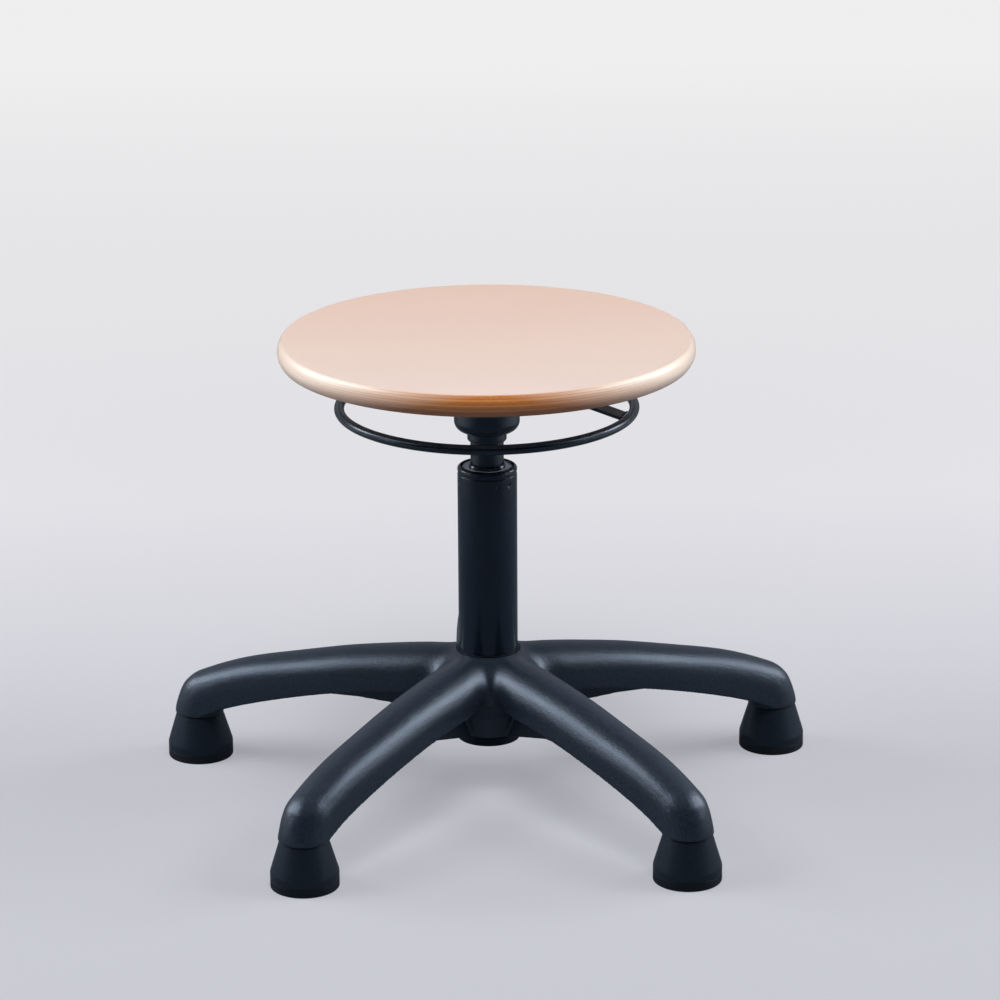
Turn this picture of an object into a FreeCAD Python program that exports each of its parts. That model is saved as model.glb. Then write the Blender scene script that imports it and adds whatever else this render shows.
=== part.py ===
import FreeCAD, Part
import math
import operator
import os

import Sketcher

# Height-adjustable stool: a round plywood seat on a gas lift, released by a ring under
# the seat, on a five-arm moulded base with glides. Millimetres, +Z up, origin on the
# column axis at floor level. The seat is drawn at the bottom of its travel.

os.makedirs("parts", exist_ok=True)
doc = FreeCAD.newDocument("Stool")
sheet = doc.addObject("Spreadsheet::Sheet", "Sizes")

# Driving dimensions: name, size, what it is
ROWS = [
    ("seat_height", 397.3, "floor to the top of the seat, lift fully down"),
    ("seat_radius", 173.5, "seat at the widest point of its rounded edge"),
    ("seat_thickness", 18.5, "plywood seat panel"),
    ("seat_bulge", 4.0, "how far the edge bulges past the top and bottom faces"),
    ("insert_radius", 4.75, "threaded insert in the seat panel"),
    ("insert_length", 11.0, "threaded insert"),
    ("insert_hole_extra", 1.5, "depth of the insert's hole past the insert"),
    ("screw_radius", 3.0, "seat screw shank"),
    ("screw_length", 13.0, "seat screw below its head"),
    ("screw_head_radius", 5.6, "seat screw head"),
    ("screw_head_height", 3.2, "seat screw head"),
    ("screw_head_flat", 4.5, "flat face of the seat screw head, radius"),
    ("screw_socket_radius", 2.3, "six-sided socket in the head, across corners"),
    ("screw_socket_depth", 1.8, "socket in the head"),
    ("washer_radius", 7.0, "washer under each seat screw"),
    ("washer_thickness", 1.2, "washer under each seat screw"),
    ("screw_spacing", 120.0, "between seat screws, both ways"),
    ("plate_width", 156.0, "square plate under the seat"),
    ("plate_thickness", 3.0, "plate under the seat"),
    ("plate_corner", 14.0, "corner radius of the plate"),
    ("hole_play", 0.3, "radial play of a screw in a plain hole"),
    ("fulcrum_radius", 22.5, "circle on which the rocker tips"),
    ("fulcrum_width", 4.0, "wall of the fulcrum ring"),
    ("fulcrum_height", 8.7, "fulcrum ring below the plate"),
    ("rocker_radius", 23.0, "disc of the rocker"),
    ("rocker_thickness", 3.0, "flat bar and disc of the rocker"),
    ("spoke_width", 16.0, "flat spokes that carry the ring"),
    ("ring_radius", 122.9, "centre line of the ring handle"),
    ("ring_wire_radius", 4.15, "wire of the ring handle"),
    ("ring_drop", 27.9, "ring centre line below the middle of the rocker disc"),
    ("ring_yaw", -18.9, "where one spoke points, degrees from +X about +Z"),
    ("cup_radius", 27.5, "housing under the seat plate"),
    ("cup_wall", 2.0, "housing wall"),
    ("cup_depth", 59.0, "housing below the seat plate"),
    ("cup_round", 9.0, "rounded lower edge of the housing"),
    ("window_width", 20.0, "slot in the housing for a spoke"),
    ("window_height", 23.0, "slot below the seat plate"),
    ("socket_radius", 16.5, "cone socket on the gas lift, outside"),
    ("socket_length", 45.0, "cone socket"),
    ("socket_edge", 2.0, "rounded lower lip of the cone socket"),
    ("cone_slope", 0.0251, "radius lost per millimetre of cone length"),
    ("button_radius", 4.0, "head of the release button"),
    ("button_height", 5.2, "head of the release button"),
    ("button_stem_radius", 3.0, "stem of the release button"),
    ("button_stem", 18.0, "stem below the head"),
    ("button_travel_room", 2.5, "room under the button's head"),
    ("lift_tube_radius", 14.0, "pressure tube of the gas lift"),
    ("lift_bore", 11.2, "bore of the pressure tube, radius"),
    ("lift_tube_proud", 3.0, "pressure tube above the cone socket"),
    ("valve_length", 22.0, "valve body in the top of the pressure tube"),
    ("valve_recess", 0.5, "valve body below the tube's end"),
    ("seal_section", 1.0, "radius of the valve's sealing ring section"),
    ("cylinder_radius", 9.7, "inner cylinder, outside"),
    ("cylinder_bore", 8.5, "inner cylinder, bore radius"),
    ("piston_length", 10.0, "piston"),
    ("piston_ring_height", 3.0, "sealing ring round the piston"),
    ("piston_ring_depth", 1.5, "groove for the piston's sealing ring"),
    ("rod_radius", 5.0, "piston rod"),
    ("rod_end_radius", 4.0, "stepped lower end of the rod"),
    ("rod_stud_radius", 3.0, "stud that carries the piston"),
    ("rod_length", 174.0, "piston rod from the bearing to the piston"),
    ("guide_length", 12.0, "rod guide in the pressure tube's lower end"),
    ("seal_length", 4.0, "rod seal above the guide"),
    ("lift_lip", 2.0, "rolled lower end of the pressure tube"),
    ("stand_radius", 25.0, "stand tube"),
    ("stand_wall", 2.0, "stand tube wall"),
    ("stand_clear", 21.9, "stand tube's rim below the cone socket, lift fully down"),
    ("stand_rim", 3.0, "rolled rim of the stand tube"),
    ("stand_lip", 1.2, "how far the rim turns in past the wall"),
    ("groove_drop", 5.5, "crimped groove below the rim"),
    ("groove_width", 3.0, "crimped groove"),
    ("groove_depth", 0.7, "crimped groove"),
    ("dimple_drop", 12.9, "punch marks below the rim"),
    ("dimple_radius", 1.6, "ball that makes each punch mark"),
    ("dimple_depth", 0.7, "punch mark"),
    ("dimple_turn", -69.4, "first punch mark, degrees from +X"),
    ("dimple_step", 26.4, "between the two punch marks of a pair, degrees"),
    ("bush_length", 77.0, "guide bush in the stand tube"),
    ("bush_recess", 1.2, "top of the guide bush below the rim"),
    ("bush_bevel", 1.6, "bevel round the top of the guide bush"),
    ("wiper_radius", 15.4, "wiper ring round the pressure tube"),
    ("wiper_height", 2.6, "wiper ring above the guide bush"),
    ("wiper_seat", 2.4, "wiper ring sunk in the guide bush"),
    ("hub_top", 124.5, "top of the base's hub"),
    ("hub_bottom", 52.0, "underside of the moulded hub"),
    ("hub_foot", 28.0, "moulded hub at its underside, radius"),
    ("hub_waist", 74.0, "where the hub starts to narrow towards its underside"),
    ("hub_radius", 39.0, "moulded hub"),
    ("hub_round", 14.0, "rounded shoulder of the hub"),
    ("valley_round", 6.0, "rounding between neighbouring arms"),
    ("sleeve_radius", 26.5, "steel sleeve in the hub"),
    ("sleeve_bottom", 44.0, "lower end of the sleeve"),
    ("sleeve_rise", 0.4, "sleeve above the hub"),
    ("stand_bottom", 46.0, "lower end of the stand tube"),
    ("floor_inset", 4.0, "stand tube below its bottom plate"),
    ("floor_plate", 3.0, "bottom plate of the stand tube"),
    ("race_radius", 13.5, "thrust bearing races, outside"),
    ("race_thickness", 1.8, "thrust bearing races"),
    ("ball_radius", 2.4, "thrust bearing balls"),
    ("ball_circle", 9.5, "circle of the balls"),
    ("ball_play", 0.05, "play round each ball"),
    ("cage_radius", 13.0, "ball cage, outside"),
    ("cage_bore", 6.0, "ball cage, bore radius"),
    ("cage_thickness", 2.4, "ball cage"),
    ("buffer_radius", 17.0, "rubber buffer"),
    ("buffer_height", 9.5, "rubber buffer"),
    ("rod_washer_radius", 9.0, "washer under the bottom plate"),
    ("rod_washer_height", 1.0, "washer under the bottom plate"),
    ("clip_radius", 7.5, "retaining clip"),
    ("clip_height", 1.2, "retaining clip"),
    ("clip_depth", 0.9, "groove for the clip"),
    ("clip_gap", 5.0, "mouth of the retaining clip"),
    ("rod_end_spare", 0.8, "end of the rod below the clip"),
    ("foot_radius", 262.9, "column axis to each glide"),
    ("arm_start", 10.0, "arm section nearest the axis"),
    ("arm_root", 27.0, "where an arm leaves the hub's bore"),
    ("arm_stop", 28.5, "where the straight run of an arm ends, inward of the glide"),
    ("arm_crest", 124.4, "ridge of an arm at its root"),
    ("arm_fall", 13.2, "straight part of the ridge's fall over the reach"),
    ("arm_bend", 23.0, "curved part of the ridge's fall over the reach"),
    ("arm_under", 87.2, "lower edge of an arm's walls at its root"),
    ("under_fall", 2.5, "straight part of the lower edge's fall"),
    ("under_bend", 34.0, "curved part of the lower edge's fall"),
    ("arm_half_width", 26.8, "half width of an arm at its root"),
    ("arm_taper", 5.5, "half width lost over the reach"),
    ("arm_wall", 4.0, "moulded wall of an arm"),
    ("channel_start", 46.0, "hollow underside, from the axis"),
    ("elbow_radius", 35.5, "outside of the bend at an arm's end"),
    ("elbow_back", 15.8, "centre of the bend, inward of the glide"),
    ("elbow_height", 45.0, "centre of the bend above the floor"),
    ("elbow_turn", 70.0, "angle of the bend, degrees"),
    ("elbow_half_width", 20.9, "half width at the bend"),
    ("arm_end", 40.0, "lower face of an arm's end"),
    ("skirt_radius", 21.4, "arm's end at its lower face"),
    ("skirt_top_radius", 20.2, "top of the tapered skirt"),
    ("skirt_height", 10.0, "tapered skirt"),
    ("heel_back", 3.6, "where the heel inside the bend comes down to the lower face"),
    ("heel_rise", 1.0, "heel inside the bend above its centre"),
    ("web_thickness", 5.0, "rib along the middle of an arm"),
    ("web_foot", 51.5, "rib's lower edge at the sleeve"),
    ("web_knee_out", 79.0, "rib's bend, from the axis"),
    ("web_knee", 65.0, "rib's bend, above the floor"),
    ("web_level_out", 118.0, "where the rib runs level, from the axis"),
    ("web_level", 68.0, "level part of the rib"),
    ("web_clear", 2.0, "rib above the walls' edge towards the arm's end"),
    ("cross_rib", 3.0, "cross ribs between the walls"),
    ("cross_clear", 3.0, "cross ribs above the walls' edge"),
    ("glide_radius", 28.0, "glide and its sole"),
    ("glide_neck", 20.0, "top of the glide"),
    ("glide_rim", 5.7, "straight wall of the glide above the sole"),
    ("sole_height", 7.5, "rubber sole"),
    ("sole_bevel", 0.8, "bevel round the sole"),
    ("spigot_radius", 18.0, "raised middle of the sole"),
    ("spigot_height", 4.0, "raised middle of the sole"),
    ("pin_radius", 5.5, "steel pin of a glide"),
    ("pin_below", 20.0, "pin inside the glide"),
    ("pin_above", 22.0, "pin inside the arm"),
    ("pin_point", 1.2, "bevel on the pin's end"),
    ("grip_drop", 6.0, "grip ring below the pin's top"),
    ("grip_height", 2.0, "grip ring"),
    ("grip_depth", 0.9, "groove for the grip ring"),
    ("fit", 0.04, "radial clearance of pressed pieces"),
    ("running", 0.06, "radial clearance of sliding and turning pieces"),
    ("face_gap", 0.3, "gap between faces that meet only in use"),
]
ARMS = 5
BALLS = 8
SCREWS = 4
SPOKES = 2
DIMPLE_PAIRS = 3
FIRST_ARM = 90.0


# Sizes that carry both their number and the formula that gives it from the sheet
class Size:
    def __init__(self, value, text):
        self.value = float(value)
        self.text = text

    def __add__(self, other):
        return joined(self, "+", other)

    def __radd__(self, other):
        return joined(other, "+", self)

    def __sub__(self, other):
        return joined(self, "-", other)

    def __rsub__(self, other):
        return joined(other, "-", self)

    def __mul__(self, other):
        return joined(self, "*", other)

    def __rmul__(self, other):
        return joined(other, "*", self)

    def __truediv__(self, other):
        return joined(self, "/", other)

    def __neg__(self):
        return joined(0, "-", self)


SIGNS = {"+": operator.add, "-": operator.sub, "*": operator.mul, "/": operator.truediv}


def sized(thing):
    return thing if isinstance(thing, Size) else Size(thing, repr(float(thing)))


def joined(left, sign, right):
    left = sized(left)
    right = sized(right)
    return Size(SIGNS[sign](left.value, right.value), "(%s %s %s)" % (left.text, sign, right.text))


def sine(degrees):
    degrees = sized(degrees)
    return Size(math.sin(math.radians(degrees.value)), "sin(%s)" % degrees.text)


def cosine(degrees):
    degrees = sized(degrees)
    return Size(math.cos(math.radians(degrees.value)), "cos(%s)" % degrees.text)


class Table:
    """The sheet's sizes, each read as an attribute with the cell's alias."""


S = Table()
for number, (alias, value, meaning) in enumerate(ROWS, start=1):
    sheet.set("A%d" % number, meaning)
    sheet.set("B%d" % number, str(value))
    sheet.setAlias("B%d" % number, alias)
    setattr(S, alias, Size(value, "Sizes." + alias))
doc.recompute()


# Tools for drawing bodies
def bind(thing, path, size):
    thing.setExpression(path, sized(size).text)


def new_body(name):
    body = doc.addObject("PartDesign::Body", name)
    body.Label = name
    return body


def origin_item(body, role):
    return next(item for item in body.Origin.OriginFeatures if item.Role == role)


def attach(feature, body, role, x=0, y=0, z=0, tilt=0):
    """Attach to an origin plane, moved by x, y and z in the plane's own directions."""
    feature.AttachmentSupport = [(origin_item(body, role), "")]
    feature.MapMode = "FlatFace"
    base = FreeCAD.Vector(sized(x).value, sized(y).value, sized(z).value)
    turn = FreeCAD.Rotation(FreeCAD.Vector(1, 0, 0), sized(tilt).value)
    feature.AttachmentOffset = FreeCAD.Placement(base, turn)
    bind(feature, "AttachmentOffset.Base.x", x)
    bind(feature, "AttachmentOffset.Base.y", y)
    bind(feature, "AttachmentOffset.Base.z", z)
    if isinstance(tilt, Size):
        bind(feature, "AttachmentOffset.Rotation.Angle", tilt)


def new_sketch(body, name, role, x=0, y=0, z=0, tilt=0):
    sketch = body.newObject("Sketcher::SketchObject", name)
    attach(sketch, body, role, x, y, z, tilt)
    return sketch


def fix(sketch, kind, places, size):
    number = sketch.addConstraint(Sketcher.Constraint(kind, *places, size.value))
    bind(sketch, "Constraints[%d]" % number, size)


def draw(sketch, corners, arcs=None):
    """A closed outline through corners; arcs gives, for a side, its middle point and one size."""
    arcs = arcs or {}
    points = [FreeCAD.Vector(sized(x).value, sized(y).value, 0) for x, y in corners]
    count = len(points)
    for side in range(count):
        start = points[side]
        end = points[(side + 1) % count]
        if side in arcs:
            middle = FreeCAD.Vector(sized(arcs[side][0]).value, sized(arcs[side][1]).value, 0)
            sketch.addGeometry(Part.Arc(start, middle, end), False)
        else:
            sketch.addGeometry(Part.LineSegment(start, end), False)
    starts = [point_at(sketch, side, points[side]) for side in range(count)]
    for side in range(count):
        following = (side + 1) % count
        end = 3 - starts[side]
        sketch.addConstraint(Sketcher.Constraint("Coincident", side, end, following, starts[following]))
    for side, (x, y) in enumerate(corners):
        hold_point(sketch, side, starts[side], x, y)
        if side in arcs:
            kind, size = arcs[side][2:]
            fix(sketch, kind, (side,) if kind == "Radius" else (-1, 1, side, 3), size)


def point_at(sketch, side, point):
    """Which end of a side, 1 or 2, lies at a point; arcs always run anticlockwise."""
    return 1 if sketch.getPoint(side, 1).distanceToPoint(point) < 1e-6 else 2


def hold_point(sketch, side, end, x, y):
    """Hold one end of a side at its two sizes from the sketch's origin."""
    for kind, size, axis in (("DistanceX", sized(x), -2), ("DistanceY", sized(y), -1)):
        if size.text == "0.0":
            sketch.addConstraint(Sketcher.Constraint("PointOnObject", side, end, axis))
        else:
            fix(sketch, kind, (-1, 1, side, end), size)


def revolve(body, sketch, name, kind="PartDesign::Revolution", axis="V_Axis", angle=360):
    feature = body.newObject(kind, name)
    feature.Profile = (sketch, [""])
    feature.ReferenceAxis = (sketch, [axis])
    feature.Angle = sized(angle).value
    if isinstance(angle, Size):
        bind(feature, "Angle", angle)
    body.Tip = feature
    return feature


def turned(name, corners, arcs=None):
    """A body turned about Z from an outline of radii and heights."""
    body = new_body(name)
    sketch = new_sketch(body, name + "_outline", "XZ_Plane")
    draw(sketch, corners, arcs)
    revolve(body, sketch, name + "_turning")
    return body


def rounded(body, kind, size, picked):
    """Fillet or chamfer the tip's edges that the picking function accepts."""
    doc.recompute()
    tip = body.Tip
    edges = ["Edge%d" % (i + 1) for i, edge in enumerate(tip.Shape.Edges) if picked(edge)]
    feature = body.newObject("PartDesign::" + kind, body.Name + "_" + kind.lower())
    feature.Base = (tip, edges)
    bind(feature, "Radius" if kind == "Fillet" else "Size", size)
    body.Tip = feature
    doc.recompute()
    return feature


def is_circle(edge, radius, height):
    curve = edge.Curve
    if not isinstance(curve, Part.Circle):
        return False
    return abs(curve.Radius - radius.value) < 0.05 and abs(curve.Center.z - height.value) < 0.05


def is_upright(edge):
    low, high = edge.Vertexes[0].Point, edge.Vertexes[-1].Point
    return isinstance(edge.Curve, Part.Line) and abs((high - low).z) > 0.9 * (high - low).Length


def cylinder(body, name, kind, radius, height, x=0, y=0, z=0):
    feature = body.newObject("PartDesign::%sCylinder" % kind, name)
    attach(feature, body, "XY_Plane", x, y, z)
    bind(feature, "Radius", radius)
    bind(feature, "Height", height)
    body.Tip = feature
    return feature


def patterned(body, name, features, count):
    """Repeat features, or the whole body where none are named, evenly round Z."""
    doc.recompute()
    pattern = body.newObject("PartDesign::PolarPattern", name)
    if features:
        pattern.Originals = features
    else:
        pattern.TransformMode = "Whole shape"
    pattern.Axis = (origin_item(body, "Z_Axis"), [""])
    pattern.Angle = 360
    pattern.Occurrences = count
    body.Tip = pattern
    return pattern


def pad(body, sketch, name, length, kind="Pad", both_ways=False, backwards=False):
    feature = body.newObject("PartDesign::" + kind, name)
    feature.Profile = (sketch, [""])
    bind(feature, "Length", length)
    if both_ways:
        feature.SideType = "Symmetric"
    feature.Reversed = backwards
    body.Tip = feature
    return feature


def spin(thing, degrees):
    """Turn a whole sub-part about Z."""
    thing.Placement = FreeCAD.Placement(
        FreeCAD.Vector(), FreeCAD.Rotation(FreeCAD.Vector(0, 0, 1), sized(degrees).value)
    )
    if isinstance(degrees, Size):
        bind(thing, "Placement.Rotation.Angle", degrees)


def move(thing, x, y, z=0):
    bind(thing, "Placement.Base.x", x)
    bind(thing, "Placement.Base.y", y)
    bind(thing, "Placement.Base.z", z)


def group(name, members):
    """Separate solids that share one node."""
    whole = doc.addObject("Part::Compound", name)
    whole.Label = name
    whole.Links = members
    return whole


def mid(a, b):
    return (a + b) / 2


nodes = []


def keep(thing):
    nodes.append(thing)
    return thing


# Heights that follow from the sizes, from the seat down
seat_bottom = S.seat_height - S.seat_thickness
plate_bottom = seat_bottom - S.plate_thickness
fulcrum_bottom = plate_bottom - S.fulcrum_height
rocker_top = fulcrum_bottom - S.face_gap
rocker_bottom = rocker_top - S.rocker_thickness
rocker_middle = mid(rocker_top, rocker_bottom)
ring_height = rocker_middle - S.ring_drop
button_top = rocker_bottom - S.face_gap
button_bottom = button_top - S.button_height
valve_top = button_bottom - S.button_travel_room
lift_top = valve_top + S.valve_recess
socket_top = lift_top - S.lift_tube_proud
socket_bottom = socket_top - S.socket_length
cup_bottom = plate_bottom - S.cup_depth
valve_bottom = valve_top - S.valve_length

# Heights that follow from the sizes, from the floor up
stand_top = socket_bottom - S.stand_clear
floor_low = S.stand_bottom + S.floor_inset
floor_high = floor_low + S.floor_plate
race_low = floor_high + S.race_thickness
ball_height = race_low + S.ball_radius + S.ball_play
race_high = ball_height + S.ball_radius + S.ball_play
bearing_top = race_high + S.race_thickness
buffer_top = bearing_top + S.buffer_height
lift_bottom = buffer_top + S.face_gap
guide_bottom = lift_bottom + S.lift_lip
guide_top = guide_bottom + S.guide_length
seal_top = guide_top + S.seal_length
piston_bottom = bearing_top + S.rod_length
piston_top = piston_bottom + S.piston_length
bush_top = stand_top - S.bush_recess
bush_bottom = bush_top - S.bush_length
washer_low = floor_low - S.rod_washer_height
clip_low = washer_low - S.clip_height
rod_low = clip_low - S.rod_end_spare
arm_reach = S.foot_radius - S.arm_stop - S.arm_root


# The seat panel with its four blind holes for the inserts
def screw_places():
    half = S.screw_spacing / 2
    return [(half, half), (-half, half), (-half, -half), (half, -half)]


def make_seat():
    face = S.seat_radius - S.seat_bulge
    thickness = S.seat_thickness
    bulge = S.seat_bulge
    arc_radius = (thickness * thickness / 4 + bulge * bulge) / (2 * bulge)
    body = turned(
        "seat_panel",
        [(0, seat_bottom), (face, seat_bottom), (face, S.seat_height), (0, S.seat_height)],
        {1: (S.seat_radius, mid(seat_bottom, S.seat_height), "Radius", arc_radius)},
    )
    x, y = screw_places()[0]
    depth = S.insert_length + S.insert_hole_extra
    hole = cylinder(body, "insert_hole", "Subtractive", S.insert_radius + S.fit, depth, x, y, seat_bottom)
    patterned(body, "insert_holes", [hole], SCREWS)
    keep(body)


def make_inserts():
    members = []
    for number, (x, y) in enumerate(screw_places(), start=1):
        low = seat_bottom
        high = seat_bottom + S.insert_length
        outer = S.insert_radius
        inner = S.screw_radius + S.fit
        body = turned("insert_%d" % number, [(inner, low), (outer, low), (outer, high), (inner, high)])
        move(body, x, y)
        members.append(body)
    keep(group("seat_inserts", members))


def make_screws():
    screws = []
    washers = []
    for number, (x, y) in enumerate(screw_places(), start=1):
        seat = plate_bottom - S.washer_thickness
        under = seat - S.screw_head_height
        tip = seat + S.screw_length
        bevel = S.screw_radius / 4
        body = turned(
            "screw_%d" % number,
            [
                (0, under),
                (S.screw_head_flat, under),
                (S.screw_head_radius, mid(under, seat)),
                (S.screw_head_radius, seat),
                (S.screw_radius, seat),
                (S.screw_radius, tip - bevel),
                (S.screw_radius - bevel, tip),
                (0, tip),
            ],
        )
        sketch = new_sketch(body, "socket_outline_%d" % number, "XY_Plane", z=under)
        reach = S.screw_socket_radius
        turns = range(30, 360, 60)
        draw(sketch, [(reach * cosine(turn), reach * sine(turn)) for turn in turns])
        pad(body, sketch, "socket_%d" % number, S.screw_socket_depth, "Pocket", backwards=True)
        move(body, x, y)
        screws.append(body)
        bore = S.screw_radius + S.hole_play
        outer = S.washer_radius
        washer = turned(
            "washer_%d" % number,
            [(bore, seat), (outer, seat), (outer, plate_bottom), (bore, plate_bottom)],
        )
        move(washer, x, y)
        washers.append(washer)
    keep(group("seat_screws", screws))
    keep(group("screw_washers", washers))


# Square steel plate that carries the seat
def make_plate():
    body = new_body("seat_plate")
    sketch = new_sketch(body, "plate_outline", "XY_Plane", z=plate_bottom)
    half = S.plate_width / 2
    draw(sketch, [(-half, -half), (half, -half), (half, half), (-half, half)])
    pad(body, sketch, "plate_pad", S.plate_thickness)
    rounded(body, "Fillet", S.plate_corner, is_upright)
    x, y = screw_places()[0]
    bore = S.screw_radius + S.hole_play
    hole = cylinder(body, "plate_hole", "Subtractive", bore, S.plate_thickness, x, y, plate_bottom)
    patterned(body, "plate_holes", [hole], SCREWS)
    keep(body)


# Housing, fulcrum ring and cone socket below the plate
def make_fulcrum():
    outer = S.fulcrum_radius + S.fulcrum_width / 2
    inner = S.fulcrum_radius - S.fulcrum_width / 2
    low = fulcrum_bottom
    high = plate_bottom
    keep(turned("fulcrum_ring", [(inner, low), (outer, low), (outer, high), (inner, high)]))


def make_cup():
    neck = S.socket_radius + S.fit
    outer = S.cup_radius
    inner = outer - S.cup_wall
    floor = cup_bottom + S.cup_wall
    body = turned(
        "cup_housing",
        [
            (neck, cup_bottom),
            (outer, cup_bottom),
            (outer, plate_bottom),
            (inner, plate_bottom),
            (inner, floor),
            (neck, floor),
        ],
    )
    rounded(body, "Fillet", S.cup_round, lambda edge: is_circle(edge, outer, cup_bottom))
    inner_round = S.cup_round - S.cup_wall
    fillet = rounded(body, "Fillet", inner_round, lambda edge: is_circle(edge, inner, floor))
    fillet.Label = "cup_inside_round"
    window = new_sketch(body, "window_outline", "YZ_Plane")
    half = S.window_width / 2
    low = plate_bottom - S.window_height
    draw(window, [(-half, low), (half, low), (half, plate_bottom), (-half, plate_bottom)])
    through = S.cup_radius * 3
    pad(body, window, "windows", through, "Pocket", both_ways=True)
    spin(body, S.ring_yaw)
    keep(body)


def make_socket():
    outer = S.socket_radius
    low_bore = S.lift_tube_radius + S.fit
    high_bore = low_bore - S.socket_length * S.cone_slope
    body = turned(
        "cone_socket",
        [(low_bore, socket_bottom), (outer, socket_bottom), (outer, socket_top), (high_bore, socket_top)],
    )
    rounded(body, "Fillet", S.socket_edge, lambda edge: is_circle(edge, outer, socket_bottom))
    keep(body)


# Rocker: disc and two bent flat spokes, coped to the ring's wire
def make_rocker():
    body = new_body("rocker_plate")
    cylinder(body, "rocker_disc", "Additive", S.rocker_radius, S.rocker_thickness, z=rocker_bottom)
    side = new_sketch(body, "spoke_side", "XZ_Plane")
    half = S.rocker_thickness / 2
    draw(
        side,
        [
            (0, rocker_bottom),
            (S.rocker_radius, rocker_bottom),
            (S.ring_radius, ring_height - half),
            (S.ring_radius, ring_height + half),
            (S.rocker_radius, rocker_top),
            (0, rocker_top),
        ],
    )
    spoke = pad(body, side, "spoke", S.spoke_width, both_ways=True)
    patterned(body, "spokes", [spoke], SPOKES)
    wire = new_sketch(body, "cope_outline", "XZ_Plane")
    draw_circle(wire, S.ring_radius, ring_height, S.ring_wire_radius + S.fit)
    revolve(body, wire, "cope", "PartDesign::Groove")
    spin(body, S.ring_yaw)
    keep(body)


def draw_circle(sketch, x, y, radius):
    circle = Part.Circle(FreeCAD.Vector(x.value, y.value, 0), FreeCAD.Vector(0, 0, 1), radius.value)
    sketch.addGeometry(circle, False)
    fix(sketch, "DistanceX", (-1, 1, 0, 3), x)
    fix(sketch, "DistanceY", (-1, 1, 0, 3), y)
    fix(sketch, "Radius", (0,), radius)


def make_ring():
    body = new_body("ring_handle")
    sketch = new_sketch(body, "wire_outline", "XZ_Plane")
    draw_circle(sketch, S.ring_radius, ring_height, S.ring_wire_radius)
    revolve(body, sketch, "wire")
    keep(body)


# Gas lift: release button, valve, tubes, piston and rod
def make_button():
    stem = S.button_stem_radius
    head = S.button_radius
    low = button_bottom - S.button_stem
    crown = head / 3
    sphere = (head * head + crown * crown) / (2 * crown)
    keep(
        turned(
            "release_button",
            [
                (0, low),
                (stem, low),
                (stem, button_bottom),
                (head, button_bottom),
                (head, button_top - crown),
                (0, button_top),
            ],
            {4: (head / 2, button_top - crown / 4, "Radius", sphere)},
        )
    )


def make_valve():
    outer = S.lift_bore - S.fit
    bore = S.button_stem_radius + S.running
    groove_middle = mid(valve_bottom, valve_top)
    half = S.seal_section + S.fit
    floor = S.lift_bore - 2 * S.seal_section - S.fit
    well = button_bottom - S.button_stem - S.button_travel_room - 1
    keep(
        turned(
            "valve_body",
            [
                (0, valve_bottom),
                (outer, valve_bottom),
                (outer, groove_middle - half),
                (floor, groove_middle - half),
                (floor, groove_middle + half),
                (outer, groove_middle + half),
                (outer, valve_top),
                (bore, valve_top),
                (bore, well),
                (0, well),
            ],
        )
    )
    body = new_body("valve_seal")
    sketch = new_sketch(body, "seal_outline", "XZ_Plane")
    draw_circle(sketch, S.lift_bore - S.seal_section - S.fit / 2, groove_middle, S.seal_section)
    revolve(body, sketch, "seal")
    keep(body)


def make_pressure_tube():
    outer = S.lift_tube_radius
    top = outer - (lift_top - socket_bottom) * S.cone_slope
    lip = S.cylinder_radius
    keep(
        turned(
            "pressure_tube",
            [
                (lip, lift_bottom),
                (outer - 1, lift_bottom),
                (outer, lift_bottom + 1),
                (outer, socket_bottom),
                (top, lift_top),
                (S.lift_bore, lift_top),
                (S.lift_bore, guide_bottom),
                (lip, guide_bottom),
            ],
        )
    )


def make_lift_insides():
    tube = [
        (S.cylinder_bore, seal_top),
        (S.cylinder_radius, seal_top),
        (S.cylinder_radius, valve_bottom),
        (S.cylinder_bore, valve_bottom),
    ]
    keep(turned("inner_cylinder", tube))
    outer = S.lift_bore - S.fit
    bore = S.rod_radius + S.running
    guide = [(bore, guide_bottom), (outer, guide_bottom), (outer, guide_top), (bore, guide_top)]
    keep(turned("rod_guide", guide))
    seal = [(bore, guide_top), (outer, guide_top), (outer, seal_top), (bore, seal_top)]
    keep(turned("rod_seal", seal))


def make_piston():
    outer = S.cylinder_bore - S.running
    bore = S.rod_stud_radius + S.fit
    middle = mid(piston_bottom, piston_top)
    half = S.piston_ring_height / 2
    floor = outer - S.piston_ring_depth
    keep(
        turned(
            "piston",
            [
                (bore, piston_bottom),
                (outer, piston_bottom),
                (outer, middle - half - S.fit),
                (floor, middle - half - S.fit),
                (floor, middle + half + S.fit),
                (outer, middle + half + S.fit),
                (outer, piston_top),
                (bore, piston_top),
            ],
        )
    )
    inner = floor + S.fit
    ring = [(inner, middle - half), (outer, middle - half), (outer, middle + half), (inner, middle + half)]
    keep(turned("piston_ring", ring))


def make_rod():
    end = S.rod_end_radius
    groove = end - S.clip_depth
    stud = S.rod_stud_radius
    keep(
        turned(
            "piston_rod",
            [
                (0, rod_low),
                (end, rod_low),
                (end, clip_low),
                (groove, clip_low),
                (groove, washer_low),
                (end, washer_low),
                (end, bearing_top),
                (S.rod_radius, bearing_top),
                (S.rod_radius, piston_bottom),
                (stud, piston_bottom),
                (stud, piston_top + 1),
                (0, piston_top + 1),
            ],
        )
    )


# Stand tube with its tapered foot, rolled rim, crimped groove and punch marks
def stand_outside(height):
    return S.stand_radius - (S.hub_top - height) * S.cone_slope


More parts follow.
